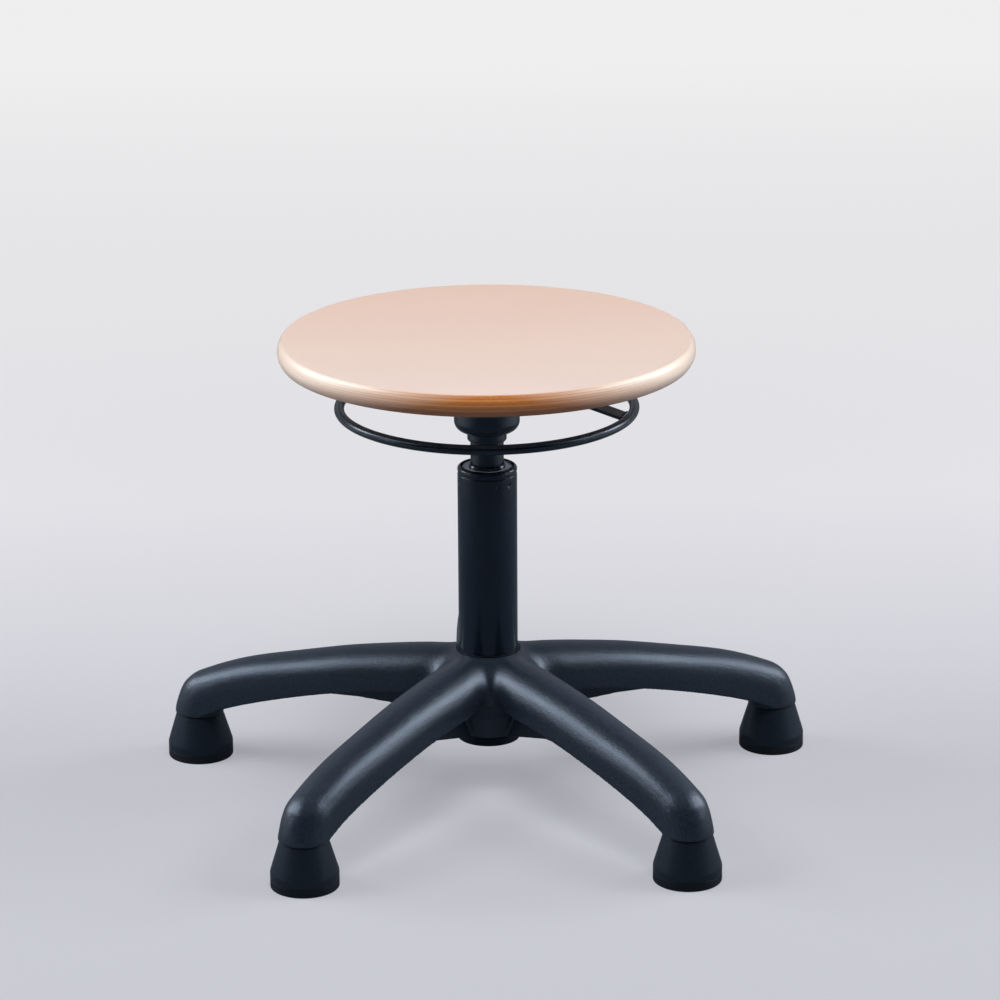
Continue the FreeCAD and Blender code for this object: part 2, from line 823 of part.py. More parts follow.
def make_stand_tube():
    outer = S.stand_radius
    wall = S.stand_wall
    groove_high = stand_top - S.groove_drop + S.groove_width / 2
    groove_low = groove_high - S.groove_width
    waist = outer - S.groove_depth
    foot = stand_outside(S.stand_bottom)
    body = turned(
        "stand_tube",
        [
            (foot - wall, S.stand_bottom),
            (foot, S.stand_bottom),
            (outer, S.hub_top),
            (outer, groove_low),
            (waist, groove_low + S.groove_depth),
            (waist, groove_high - S.groove_depth),
            (outer, groove_high),
            (outer, stand_top),
            (outer - wall - S.stand_lip, stand_top),
            (outer - wall - S.stand_lip, stand_top - S.bush_recess / 2),
            (outer - wall, stand_top - S.bush_recess),
            (outer - wall, S.hub_top),
        ],
    )
    rounded(body, "Fillet", S.stand_rim, lambda edge: is_circle(edge, outer, stand_top))
    marks = []
    for number in range(2):
        mark = body.newObject("PartDesign::SubtractiveSphere", "dimple_%d" % number)
        angle = S.dimple_turn + S.dimple_step * number
        reach = S.stand_radius + S.dimple_radius - S.dimple_depth
        place = (reach * cosine(angle), reach * sine(angle), stand_top - S.dimple_drop)
        attach(mark, body, "XY_Plane", *place)
        bind(mark, "Radius", S.dimple_radius)
        body.Tip = mark
        marks.append(mark)
    patterned(body, "dimples", marks, DIMPLE_PAIRS)
    keep(body)


def make_bush():
    outer = S.stand_radius - S.stand_wall - S.fit
    bore = S.lift_tube_radius + S.running
    seat = S.wiper_radius + S.fit
    step = bush_top - S.wiper_seat
    keep(
        turned(
            "guide_bush",
            [
                (bore, bush_bottom),
                (outer, bush_bottom),
                (outer, bush_top - S.bush_bevel),
                (outer - S.bush_bevel, bush_top),
                (seat, bush_top),
                (seat, step),
                (bore, step),
            ],
        )
    )
    top = bush_top + S.wiper_height
    wiper = S.wiper_radius
    keep(
        turned(
            "wiper_ring",
            [
                (bore, step),
                (wiper, step),
                (wiper, mid(bush_top, top)),
                (mid(bore, wiper), top),
                (bore, top),
            ],
        )
    )


# Foot of the stand tube: bottom plate, thrust bearing, buffer, washer and clip
def make_foot():
    bore = S.rod_end_radius + S.hole_play
    low_fit = stand_outside(floor_low) - S.stand_wall - S.fit
    high_fit = stand_outside(floor_high) - S.stand_wall - S.fit
    plate = [(bore, floor_low), (low_fit, floor_low), (high_fit, floor_high), (bore, floor_high)]
    keep(turned("bottom_plate", plate))
    outer = S.race_radius
    lower = [(bore, floor_high), (outer, floor_high), (outer, race_low), (bore, race_low)]
    keep(turned("bearing_race_lower", lower))
    tight = S.rod_end_radius + S.fit
    upper = [(tight, race_high), (outer, race_high), (outer, bearing_top), (tight, bearing_top)]
    keep(turned("bearing_race_upper", upper))
    half = S.cage_thickness / 2
    low = ball_height - half
    high = ball_height + half
    inner = S.cage_bore
    outer = S.cage_radius
    cage = turned("ball_cage", [(inner, low), (outer, low), (outer, high), (inner, high)])
    pocket = S.ball_radius + S.ball_play
    hole = cylinder(cage, "ball_pocket", "Subtractive", pocket, S.cage_thickness, S.ball_circle, 0, low)
    patterned(cage, "ball_pockets", [hole], BALLS)
    keep(cage)
    balls = []
    for number in range(BALLS):
        ball = doc.addObject("Part::Sphere", "ball_%d" % number)
        bind(ball, "Radius", S.ball_radius)
        angle = 360.0 / BALLS * number
        move(ball, S.ball_circle * cosine(angle), S.ball_circle * sine(angle), ball_height)
        balls.append(ball)
    keep(group("bearing_balls", balls))
    inner = S.rod_radius + S.fit
    waist = S.buffer_radius - S.buffer_height / 8
    keep(
        turned(
            "buffer",
            [
                (inner, bearing_top),
                (S.buffer_radius, bearing_top),
                (waist, mid(bearing_top, buffer_top)),
                (S.buffer_radius, buffer_top),
                (inner, buffer_top),
            ],
        )
    )
    wide = S.rod_washer_radius
    washer = [(tight, washer_low), (wide, washer_low), (wide, floor_low), (tight, floor_low)]
    keep(turned("rod_washer", washer))
    neck = S.rod_end_radius - S.clip_depth + S.fit
    clip = turned(
        "rod_clip",
        [(neck, clip_low), (S.clip_radius, clip_low), (S.clip_radius, washer_low), (neck, washer_low)],
    )
    mouth = new_sketch(clip, "clip_mouth", "XY_Plane", z=clip_low)
    wide = S.clip_gap / 2
    reach = S.clip_radius * 2
    draw(mouth, [(0, -wide), (reach, -wide), (reach, wide), (0, wide)])
    pad(clip, mouth, "clip_opening", S.clip_height, "Pocket", backwards=True)
    keep(clip)


# Hub sleeve
def make_sleeve():
    low = stand_outside(S.sleeve_bottom) + S.fit
    high = stand_outside(S.hub_top) + S.fit
    top = S.hub_top + S.sleeve_rise
    outer = S.sleeve_radius
    keep(
        turned(
            "hub_sleeve",
            [
                (low, S.sleeve_bottom),
                (outer, S.sleeve_bottom),
                (outer, top),
                (high, top),
                (high, S.hub_top),
            ],
        )
    )


# Five-arm base: arched arms, bent down at the ends, hollow and ribbed underneath
def along(reach_share, start, straight, bend):
    """Height or width at a share of the arm's reach: start less a straight and a curved fall."""
    return start - straight * reach_share - bend * reach_share * reach_share


def arm_outline(body, name, share, inset=0, raised=0):
    """Arch section of an arm at a share of its reach, made smaller by an inset."""
    crest = along(share, S.arm_crest, S.arm_fall, S.arm_bend) - inset
    under = along(share, S.arm_under, S.under_fall, S.under_bend) + raised
    half = along(share, S.arm_half_width, S.arm_taper / 2, S.arm_taper / 2) - inset
    sketch = new_sketch(body, name, "YZ_Plane", z=S.arm_root + arm_reach * share)
    draw_arch(sketch, half, crest, under)
    return sketch


def draw_arch(sketch, half, crest, under):
    shoulder = crest - half
    corners = [(-half, under), (half, under), (half, shoulder), (-half, shoulder)]
    draw(sketch, corners, {2: (0, crest, "DistanceY", shoulder)})


def loft(body, name, kind, sketches):
    feature = body.newObject("PartDesign::%sLoft" % kind, name)
    feature.Profile = (sketches[0], [""])
    feature.Sections = [(sketch, [""]) for sketch in sketches[1:]]
    feature.Ruled = False
    body.Tip = feature
    return feature


def is_valley(edge):
    """Where two neighbouring arms meet, outside the hub and above the walls' lower edge."""
    middle = edge.valueAt(mid(edge.FirstParameter, edge.LastParameter))
    sector = 360 / ARMS
    turn = math.degrees(math.atan2(middle.y, middle.x)) % sector
    outside = math.hypot(middle.x, middle.y) > S.hub_radius.value + 1
    return outside and abs(turn - sector / 2) < 0.5 and middle.z > S.arm_under.value + 2


def make_base():
    """One fifth of the base, cut to its own sector and then repeated."""
    body = new_body("base_star")
    core = new_sketch(body, "hub_outline", "XZ_Plane")
    flat = S.hub_radius - S.hub_round
    shoulder = S.hub_top - S.hub_round
    slant = S.hub_round * sine(45)
    draw(
        core,
        [
            (0, S.hub_bottom),
            (S.hub_foot, S.hub_bottom),
            (S.hub_radius, S.hub_waist),
            (S.hub_radius, shoulder),
            (flat, S.hub_top),
            (0, S.hub_top),
        ],
        {3: (flat + slant, shoulder + slant, "Radius", S.hub_round)},
    )
    revolve(body, core, "hub")
    shares = (0, 0.25, 0.5, 0.75, 1)
    root = new_sketch(body, "arm_inner", "YZ_Plane", z=S.arm_start)
    draw_arch(root, S.arm_half_width, S.arm_crest, S.arm_under)
    sections = [root] + [arm_outline(body, "arm_%d" % k, share) for k, share in enumerate(shares)]
    centre_out = S.foot_radius - S.elbow_back
    bend = new_sketch(body, "elbow", "YZ_Plane", y=S.elbow_height, z=centre_out, tilt=90 - S.elbow_turn)
    draw_arch(bend, S.elbow_half_width, S.elbow_radius, sized(0))
    loft(body, "arm", "Additive", sections + [bend])
    revolve(body, bend, "arm_bend", axis="H_Axis", angle=S.elbow_turn)
    skirt = body.newObject("PartDesign::AdditiveCone", "arm_skirt")
    attach(skirt, body, "XY_Plane", S.foot_radius, 0, S.arm_end)
    bind(skirt, "Radius1", S.skirt_radius)
    bind(skirt, "Radius2", S.skirt_top_radius)
    bind(skirt, "Height", S.skirt_height)
    body.Tip = skirt
    heel = new_sketch(body, "heel_side", "XZ_Plane")
    heel_end = centre_out + S.elbow_radius - S.elbow_half_width
    heel_top = S.elbow_height + S.heel_rise
    draw(
        heel,
        [
            (centre_out, S.elbow_height),
            (S.foot_radius - S.heel_back, S.arm_end),
            (heel_end, S.arm_end),
            (heel_end, heel_top),
            (centre_out, heel_top),
        ],
    )
    pad(body, heel, "heel", 2 * S.elbow_half_width, both_ways=True)
    sector = new_sketch(body, "sector_outline", "XY_Plane")
    reach = S.hub_radius * 2
    half_turn = 180 / ARMS
    along_edge = reach * cosine(half_turn)
    across_edge = reach * sine(half_turn)
    draw(
        sector,
        [(0, 0), (along_edge, across_edge), (-reach, reach), (-reach, -reach), (along_edge, -across_edge)],
    )
    through = S.hub_top * 3
    pad(body, sector, "sector_cut", through, "Pocket", both_ways=True)
    make_underside(body)
    depth = S.hub_top * 2
    cylinder(body, "hub_bore", "Subtractive", S.sleeve_radius + S.fit, depth, z=-S.hub_top / 2)
    patterned(body, "arms", [], ARMS)
    rounded(body, "Fillet", S.valley_round, is_valley)
    spin(body, FIRST_ARM)
    keep(body)


def make_underside(body):
    """Hollow the arm, then add the long rib, the cross ribs and the pin's hole."""
    shares = (0.25, 0.5, 0.75, 1)
    first = (S.channel_start - S.arm_root) / arm_reach
    wall = S.arm_wall
    inner = [arm_outline(body, "channel_start", first, wall, raised=-2 * wall)]
    inner += [arm_outline(body, "channel_%d" % k, share, wall, -2 * wall) for k, share in enumerate(shares)]
    loft(body, "channel", "Subtractive", inner)
    rib = new_sketch(body, "web_outline", "XZ_Plane")
    start = S.sleeve_radius
    level_end = S.arm_root + arm_reach * shares[-2]
    end = S.arm_root + arm_reach
    low_end = along(1, S.arm_under, S.under_fall, S.under_bend) + S.web_clear
    tops = []
    for share in reversed(shares):
        crest = along(share, S.arm_crest, S.arm_fall, S.arm_bend) - wall / 2
        tops.append((S.arm_root + arm_reach * share, crest))
    draw(
        rib,
        [
            (start, S.web_foot),
            (S.web_knee_out, S.web_knee),
            (S.web_level_out, S.web_level),
            (level_end, S.web_level),
            (end, low_end),
        ]
        + tops
        + [(start, S.arm_crest - wall)],
    )
    pad(body, rib, "web", S.web_thickness, both_ways=True)
    for number, share in enumerate(shares[:-1]):
        outline = arm_outline(body, "cross_%d" % number, share, wall / 2, S.cross_clear)
        pad(body, outline, "cross_rib_%d" % number, S.cross_rib, both_ways=True)
    depth = S.pin_above + 1
    cylinder(body, "pin_hole", "Subtractive", S.pin_radius + S.fit, depth, S.foot_radius, 0, S.arm_end)


# Glides
def foot_places():
    angles = [FIRST_ARM + 360.0 / ARMS * number for number in range(ARMS)]
    return [(S.foot_radius * cosine(angle), S.foot_radius * sine(angle)) for angle in angles]


def make_glides():
    pins = []
    grips = []
    top = S.arm_end
    rim = S.sole_height + S.glide_rim
    pin_low = top - S.pin_below
    pin_high = top + S.pin_above
    grip_high = pin_high - S.grip_drop
    grip_low = grip_high - S.grip_height
    waist = S.pin_radius - S.grip_depth
    bore = S.pin_radius + S.fit
    dish = S.spigot_radius + S.fit
    for number, (x, y) in enumerate(foot_places(), start=1):
        glide = turned(
            "glide_%d" % number,
            [
                (0, S.sole_height + S.spigot_height),
                (dish, S.sole_height + S.spigot_height),
                (dish, S.sole_height),
                (S.glide_radius, S.sole_height),
                (S.glide_radius, rim),
                (S.glide_neck, top),
                (bore, top),
                (bore, pin_low),
                (0, pin_low),
            ],
        )
        move(glide, x, y)
        keep(glide)
        sole = turned(
            "sole_%d" % number,
            [
                (0, 0),
                (S.glide_radius - S.sole_bevel, 0),
                (S.glide_radius, S.sole_bevel),
                (S.glide_radius, S.sole_height),
                (S.spigot_radius, S.sole_height),
                (S.spigot_radius, S.sole_height + S.spigot_height),
                (0, S.sole_height + S.spigot_height),
            ],
        )
        move(sole, x, y)
        keep(sole)
        pin = turned(
            "pin_%d" % number,
            [
                (0, pin_low),
                (S.pin_radius, pin_low),
                (S.pin_radius, grip_low),
                (waist, grip_low),
                (waist, grip_high),
                (S.pin_radius, grip_high),
                (S.pin_radius, pin_high - S.pin_point),
                (S.pin_radius - S.pin_point, pin_high),
                (0, pin_high),
            ],
        )
        move(pin, x, y)
        pins.append(pin)
        inner = waist + S.fit
        outer = S.pin_radius
        grip = turned(
            "grip_%d" % number,
            [(inner, grip_low), (outer, grip_low), (outer, grip_high), (inner, grip_high)],
        )
        move(grip, x, y)
        grips.append(grip)
    keep(group("glide_pins", pins))
    keep(group("grip_rings", grips))


make_seat()
make_inserts()
make_screws()
make_plate()
make_fulcrum()
make_cup()
make_socket()
make_rocker()
make_ring()
make_button()
make_valve()
make_pressure_tube()
make_lift_insides()
make_piston()
make_rod()
make_stand_tube()
make_bush()
make_foot()
make_sleeve()
make_base()
make_glides()
doc.recompute()

# Check every object and sub-part, then write one file for each sub-part
for item in doc.Objects:
    bad = [state for state in item.State if state in ("Invalid", "Error")]
    if bad:
        raise RuntimeError("%s could not be made: %s" % (item.Label, item.State))
for node in nodes:
    shape = node.Shape
    if shape.isNull() or not shape.isValid() or not shape.Solids:
        raise RuntimeError("%s has no valid solid" % node.Label)
for node in nodes:
    node.Shape.exportStep("parts/%s.step" % node.Label)
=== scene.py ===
# %% [markdown]
# # A height-adjustable stool
#
# The object is a round plywood seat on a gas lift. A thin steel ring under the seat opens
# the lift's valve, and the lift stands in a moulded base with arms that end in glides.
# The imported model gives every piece's place, so we load it first and dress it piece by
# piece. Where a piece shows much, we build it again with softer edges and finer detail.

# %% Load the frame
import math

import bmesh
import bpy
import numpy as np
from mathutils import Matrix, Vector


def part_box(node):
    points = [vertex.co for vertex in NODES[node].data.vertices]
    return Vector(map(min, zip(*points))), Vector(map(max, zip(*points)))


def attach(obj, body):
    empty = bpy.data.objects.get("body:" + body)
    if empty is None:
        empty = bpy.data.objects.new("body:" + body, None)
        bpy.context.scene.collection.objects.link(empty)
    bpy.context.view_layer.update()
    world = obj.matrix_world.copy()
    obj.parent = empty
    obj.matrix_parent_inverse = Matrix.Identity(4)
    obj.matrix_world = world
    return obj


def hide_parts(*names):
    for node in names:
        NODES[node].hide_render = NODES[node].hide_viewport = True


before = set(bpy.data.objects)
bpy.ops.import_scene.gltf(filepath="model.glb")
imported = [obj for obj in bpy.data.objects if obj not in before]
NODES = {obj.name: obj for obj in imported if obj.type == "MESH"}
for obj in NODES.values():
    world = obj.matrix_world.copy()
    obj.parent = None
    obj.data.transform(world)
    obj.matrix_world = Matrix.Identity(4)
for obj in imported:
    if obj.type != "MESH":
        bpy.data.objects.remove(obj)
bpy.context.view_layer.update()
MM = 0.001


def heights(node):
    """Lowest and highest points of a CAD node, in millimetres."""
    return [corner.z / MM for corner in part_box(node)]


# %% [markdown]
# ## The camera
#
# The camera stands where the photograph's did: about three metres away with a long lens,
# a little above the seat and looking down. The place comes from fitting circles of known
# height, such as the seat's edge and the soles, to their outlines in the photograph.

# %% Camera
CAMERA_PLACE = (-0.08071, -3.20441, 1.29533)
CAMERA_PITCH = 17.975
CAMERA_YAW = -1.632
CAMERA_ROLL = -0.3105
SENSOR = 36.0
FOCAL_SHARE = 4.01744

camera_data = bpy.data.cameras.new("camera")
camera_data.sensor_width = SENSOR
camera_data.lens = SENSOR * FOCAL_SHARE
camera = bpy.data.objects.new("camera", camera_data)
bpy.context.scene.collection.objects.link(camera)
turn = Matrix.Rotation(math.radians(CAMERA_YAW), 4, "Z")
turn = turn @ Matrix.Rotation(math.radians(90 - CAMERA_PITCH), 4, "X")
turn = turn @ Matrix.Rotation(math.radians(CAMERA_ROLL), 4, "Z")
camera.matrix_world = Matrix.Translation(CAMERA_PLACE) @ turn
bpy.context.scene.camera = camera
print("lens", round(camera_data.lens, 1), "mm")

# %% [markdown]
# ## Writing finishes as sums
#
# A shader is a small calculation that runs for every point of a surface. Blender draws it
# as boxes and wires, which is hard to read in a script. So a wire gets Python's own signs:
# adding two wires makes the Add node for us. Every other node comes from one method.


# %% Finishes and wires
class Wire:
    """The output of a node, which Python's signs can work on."""

    def __init__(self, finish, socket):
        self.finish = finish
        self.socket = socket

    def __add__(self, other):
        return self.finish.maths("ADD", self, other)

    def __radd__(self, other):
        return self.finish.maths("ADD", other, self)

    def __sub__(self, other):
        return self.finish.maths("SUBTRACT", self, other)

    def __rsub__(self, other):
        return self.finish.maths("SUBTRACT", other, self)

    def __mul__(self, other):
        return self.finish.maths("MULTIPLY", self, other)

    def __rmul__(self, other):
        return self.finish.maths("MULTIPLY", other, self)

    def __truediv__(self, other):
        return self.finish.maths("DIVIDE", self, other)

    def __rtruediv__(self, other):
        return self.finish.maths("DIVIDE", other, self)


class Finish:
    """A material, with a method for each thing that a surface needs."""

    def __init__(self, name, tree=None):
        if tree is None:
            self.material = bpy.data.materials.new(name)
            self.material.use_nodes = True
            tree = self.material.node_tree
        self.tree = tree
        self.tree.nodes.clear()

    def node(self, kind, settings=None, values=None, output=0):
        """One node, with its settings and with wires or numbers in its sockets."""
        made = self.tree.nodes.new("ShaderNode" + kind)
        for key, value in (settings or {}).items():
            if key == "stops":
                fill_ramp(made.color_ramp, value)
            else:
                setattr(made, key, value)
        for key, value in (values or {}).items():
            if isinstance(value, Wire):
                self.tree.links.new(value.socket, made.inputs[key])
            else:
                made.inputs[key].default_value = value
        return Wire(self, made.outputs[output]) if made.outputs else made

    def maths(self, operation, *values):
        """One sum on a wire, or on two wires or numbers."""
        return self.node("Math", {"operation": operation}, dict(enumerate(values)))

    def axes(self, vector):
        """The X, Y and Z of a vector, as three wires."""
        split = self.node("SeparateXYZ", values={"Vector": vector})
        return [Wire(self, part) for part in split.socket.node.outputs]

    def place(self):
        """Where a point lies on its piece, in metres."""
        return self.node("TexCoord", output="Object")

    def stretched(self, scale):
        """The same, stretched along its axes, for grain that runs one way."""
        return self.node("Mapping", values={"Vector": self.place(), "Scale": scale})

    def noise(self, scale, detail, vector=None, roughness=0.5):
        """Soft clouds of 0 to 1, about as many to a metre as the scale says."""
        values = {"Scale": scale, "Detail": detail, "Roughness": roughness}
        values["Vector"] = vector or self.place()
        return self.node("TexNoise", values=values)

    def ramp(self, wire, *stops):
        """A colour for each value of a wire."""
        return self.node("ValToRGB", {"stops": stops}, {"Fac": wire})

    def mix(self, factor, first, second):
        """Two colours blended: 0 gives the first and 1 the second."""
        return self.node("Mix", {"data_type": "RGBA"}, {0: factor, 6: first, 7: second}, output=2)

    def clamp(self, wire, low, high, new_low=0.0, new_high=1.0):
        """Carry the range low to high over to the new range, and stop at its ends."""
        values = {"Value": wire, 1: low, 2: high, 3: new_low, 4: new_high}
        return self.node("MapRange", values=values)

    def bump(self, height, depth):
        """A surface that leans with a height of 0 to 1; the depth is in metres."""
        return self.node("Bump", values={"Height": height, "Distance": depth, "Strength": 1.0})

    def surface(self, **values):
        """Finish the material with a Principled surface."""
        named = {key.replace("_", " "): value for key, value in values.items()}
        shader = self.node("BsdfPrincipled", values=named)
        self.node("OutputMaterial", values={"Surface": shader})
        return self.material


def fill_ramp(ramp, stops):
    """Colour stops as (place, colour)."""
    while len(ramp.elements) < len(stops):
        ramp.elements.new(1.0)
    for element, (place, colour) in zip(ramp.elements, stops):
        element.position = place
        element.color = colour


def tone(red, green, blue):
    """A colour as a paint chart gives it, 0 to 255, in the light's own scale."""
    parts = []
    for part in (red, green, blue):
        share = part / 255
        parts.append(share / 12.92 if share <= 0.04045 else ((share + 0.055) / 1.055) ** 2.4)
    return (*parts, 1.0)


# %% [markdown]
# ## The studio
#
# Each side has one strong soft box, high up, with a wing in front of it and a wing behind.
# They are small, and that matters: a round arm mirrors each of them as one narrow band
# and stays dark beside it. Two weak lamps low on each side reach under the seat and draw
# the thin bright lines on the rims there. A sheet overhead lights the seat from the front
# but isn't mirrored. What the glossy pieces mirror of the room is pale behind the stool,
# as a backdrop is, and dark in front, so the front of the tube stays nearly black.

# %% Lamps and room
ROOM = tone(226, 232, 244)
ROOM_LIGHT = 0.05
ROOM_TURN = (-0.3, 0.5)
ROOM_GLOSS = (0.04, 0.35)
LAMP_DISTANCE = 2.3
LAMP_AIM = Vector((0, 0, 0.25))
# Each lamp has a name, an azimuth from the camera's side, an elevation, a size and a power.
SIDE_LAMPS = (
    ("box", 90, 40, (0.8, 0.8), 14.5),
    ("rear_wing", 110, 22, (0.8, 0.7), 12.5),
    ("front_wing", 70, 38, (0.7, 0.6), 4.5),
    ("low", 100, 7, (1.2, 0.5), 0.8),
    ("glint", 78, 12, (0.35, 0.2), 2.2),
)
OVERHEAD = ("overhead", 0, 66, (0.9, 0.9), 23.3)


def make_room():
    """White to the camera, weak on the stool and uneven in what is mirrored."""
    world = bpy.data.worlds.new("room")
    world.use_nodes = True
    bpy.context.scene.world = world
    room = Finish("room_light", world.node_tree)
    seen = room.node("LightPath", output="Is Camera Ray")
    mirrored = room.node("LightPath", output="Is Glossy Ray")
    _, backwards, _ = room.axes(room.node("TexCoord", output="Generated"))
    gloss = room.clamp(backwards, *ROOM_TURN, *ROOM_GLOSS)
    strength = ROOM_LIGHT + seen * (1 - ROOM_LIGHT) + mirrored * (gloss - ROOM_LIGHT)
    glow = room.node("Background", values={"Color": ROOM, "Strength": strength})
    room.node("OutputWorld", values={"Surface": glow})


def make_lamp(name, azimuth, elevation, size, power, mirrored=True):
    """An area lamp on a sphere round the stool, turned to its middle."""
    lamp = bpy.data.lights.new(name, "AREA")
    lamp.shape = "RECTANGLE"
    lamp.size, lamp.size_y = size
    lamp.energy = power
    stand = bpy.data.objects.new(name, lamp)
    turn, rise = math.radians(azimuth), math.radians(elevation)
    flat = math.cos(rise)
    towards = Vector((math.sin(turn) * flat, -math.cos(turn) * flat, math.sin(rise)))
    stand.location = LAMP_AIM + towards * LAMP_DISTANCE
    stand.rotation_euler = towards.to_track_quat("Z", "Y").to_euler()
    stand.visible_glossy = mirrored
    bpy.context.scene.collection.objects.link(stand)


make_room()
for name, azimuth, elevation, size, power in SIDE_LAMPS:
    make_lamp("left_" + name, -azimuth, elevation, size, power)
    make_lamp("right_" + name, azimuth, elevation, size, power)
make_lamp(*OVERHEAD, mirrored=False)
bpy.context.scene.view_settings.view_transform = "Standard"
print(2 * len(SIDE_LAMPS) + 1, "lamps")

# %% [markdown]
# ## The floor
#
# The floor is a wide plain sheet. To the camera it glows a little, as a paper sweep does:
# more towards the back, and more in front of the stool too, for a look from behind. The
# soles' soft shadows come from the part of it that is lit. The stool sees a dark sheet
# instead, so the black pieces stay black, with a pale sheet on each side of it that lifts
# the low half of the seat's edge. Glossy pieces mirror those only further out, as the
# upright bands at the sides of the lift.

# %% Floor
FLOOR_HALF = 12.0
FLOOR_DEPTH = 4.0
FLOOR_LIT = tone(205, 206, 213)
FLOOR_DARK = tone(112, 119, 129)
FLOOR_PALE = tone(250, 248, 246)
PALE_FROM = 0.35
PALE_FULL = 0.7
MIRRORED_OUT = 0.5
FRONT_EDGE = -0.6
FLOOR_STOPS = (
    (0.0, tone(196, 197, 206)),
    (0.2, tone(247, 246, 250)),
    (0.4, tone(254, 253, 255)),
    (1.0, tone(255, 255, 255)),
)
FLOOR_GLOW = (0.5, 0.85)
FLOOR_GLOW_DEPTH = 3.0


def make_floor():
    """One large square, with one finish for the camera and one for the stool."""
    mesh = bpy.data.meshes.new("floor")
    half = FLOOR_HALF
    corners = [(-half, -half, 0), (half, -half, 0), (half, half, 0), (-half, half, 0)]
    mesh.from_pydata(corners, [], [(0, 1, 2, 3)])
    floor = bpy.data.objects.new("floor", mesh)
    bpy.context.scene.collection.objects.link(floor)
    paper = Finish("floor_paper")
    across, back, _ = paper.axes(paper.place())
    depth = paper.maths("MAXIMUM", back, FRONT_EDGE - back)
    sweep = paper.ramp(depth / FLOOR_DEPTH, *FLOOR_STOPS)
    glow = paper.node("Emission", values={"Color": sweep, "Strength": 1.0})
    lit = paper.node("BsdfDiffuse", values={"Color": FLOOR_LIT})
    glow_share = paper.clamp(depth, 0.0, FLOOR_GLOW_DEPTH, *FLOOR_GLOW)
    camera_sheet = paper.node("MixShader", values={0: glow_share, 1: lit, 2: glow})
    mirrored = paper.node("LightPath", output="Is Glossy Ray")
    aside = paper.maths("ABSOLUTE", across) - mirrored * MIRRORED_OUT
    thrown = paper.mix(paper.clamp(aside, PALE_FROM, PALE_FULL), FLOOR_DARK, FLOOR_PALE)
    stool_sheet = paper.node("BsdfDiffuse", values={"Color": thrown})
    seen = paper.node("LightPath", output="Is Camera Ray")
    both = paper.node("MixShader", values={0: seen, 1: stool_sheet, 2: camera_sheet})
    paper.node("OutputMaterial", values={"Surface": both})
    mesh.materials.append(paper.material)


make_floor()

# %% [markdown]
# ## Moulded plastic
#
# The base is glass-filled nylon. Its mould is etched, so the skin has a fine even grain
# that breaks a highlight into a soft sheen with a sparkle. Two noises, one the size of
# sand and one the size of pepper, give that grain its bump; a slow one shifts the gloss.

# %% Plastic finishes
COOL = tone(208, 229, 255)
COARSE_SCALE = 0.45
FINE_SHARE = 0.6
SLOW_SCALE = 9.0


def grained_plastic(name, colour, paler, gloss, grain_depth, shine=0.5, grain_scale=900.0):
    """Moulded plastic with a grain of two sizes."""
    finish = Finish(name)
    fine = finish.noise(grain_scale, detail=2)
    coarse = finish.noise(grain_scale * COARSE_SCALE, detail=1)
    grain = fine * FINE_SHARE + coarse * (1 - FINE_SHARE)
    slow = finish.noise(SLOW_SCALE, detail=3)
    shade = finish.mix(finish.clamp(grain, 0.4, 0.62), colour, paler)
    rough = finish.clamp(slow, 0.3, 0.7, gloss - 0.03, gloss + 0.04) + grain * 0.06
    bump = finish.bump(grain, grain_depth)
    return finish.surface(
        Base_Color=shade, Roughness=rough, Normal=bump, Specular_IOR_Level=shine, Specular_Tint=COOL
    )


BASE_PLASTIC = grained_plastic(
    "base_plastic", tone(28, 36, 47), tone(42, 51, 63), 0.32, 0.28 * MM, shine=0.85
)
GLIDE_PLASTIC = grained_plastic(
    "glide_plastic", tone(23, 31, 40), tone(30, 39, 50), 0.36, 0.05 * MM, grain_scale=1300.0
)
# The bush's colour is partly painted light: it is paler than the grey plastic itself, to make up for the
# seat's shade over the bush's face.
BUSH_PLASTIC = grained_plastic(
    "bush_plastic", tone(196, 208, 228), tone(208, 219, 238), 0.2, 0.03 * MM, shine=1.0
)

# %% [markdown]
# ## Rubber, black paint and bare metal
#
# The soles are matte and slightly dusty. The steel tubes and the ring wear black powder
# coat: glossy, but with the shallow dimples of melted powder that are called orange peel.
# Screws and pins are zinc plated, the rod is ground bright, and turned faces show rings.

# %% Rubber and metal finishes
DUST = tone(46, 48, 52)
COAT_PATCHES = tone(20, 31, 43)
PEEL_SHARE = 0.85


def rubber(name, colour):
    """Dull rubber with a little dust on it."""
    finish = Finish(name)
    dust = finish.noise(60.0, detail=6)
    shade = finish.mix(finish.clamp(dust, 0.45, 0.8, 0.0, 0.35), colour, DUST)
    bump = finish.bump(finish.noise(1800.0, detail=2), 0.05 * MM)
    rough = finish.clamp(dust, 0.3, 0.7, 0.62, 0.78)
    return finish.surface(Base_Color=shade, Roughness=rough, Normal=bump, Specular_IOR_Level=0.3)


def black_coat(name, colour, gloss, peel_depth, peel_scale=420.0, shine=0.5):
    """Powder coat with soft dimples and a fine speck."""
    finish = Finish(name)
    peel = finish.noise(peel_scale, detail=2)
    speck = finish.noise(2600.0, detail=1)
    slow = finish.noise(14.0, detail=2)
    shade = finish.mix(finish.clamp(slow, 0.35, 0.65), colour, COAT_PATCHES)
    rough = finish.clamp(slow, 0.3, 0.7, gloss, gloss + 0.05) + speck * 0.04
    bump = finish.bump(peel * PEEL_SHARE + speck * (1 - PEEL_SHARE), peel_depth)
    return finish.surface(
        Base_Color=shade, Roughness=rough, Normal=bump, Specular_IOR_Level=shine, Specular_Tint=COOL
    )


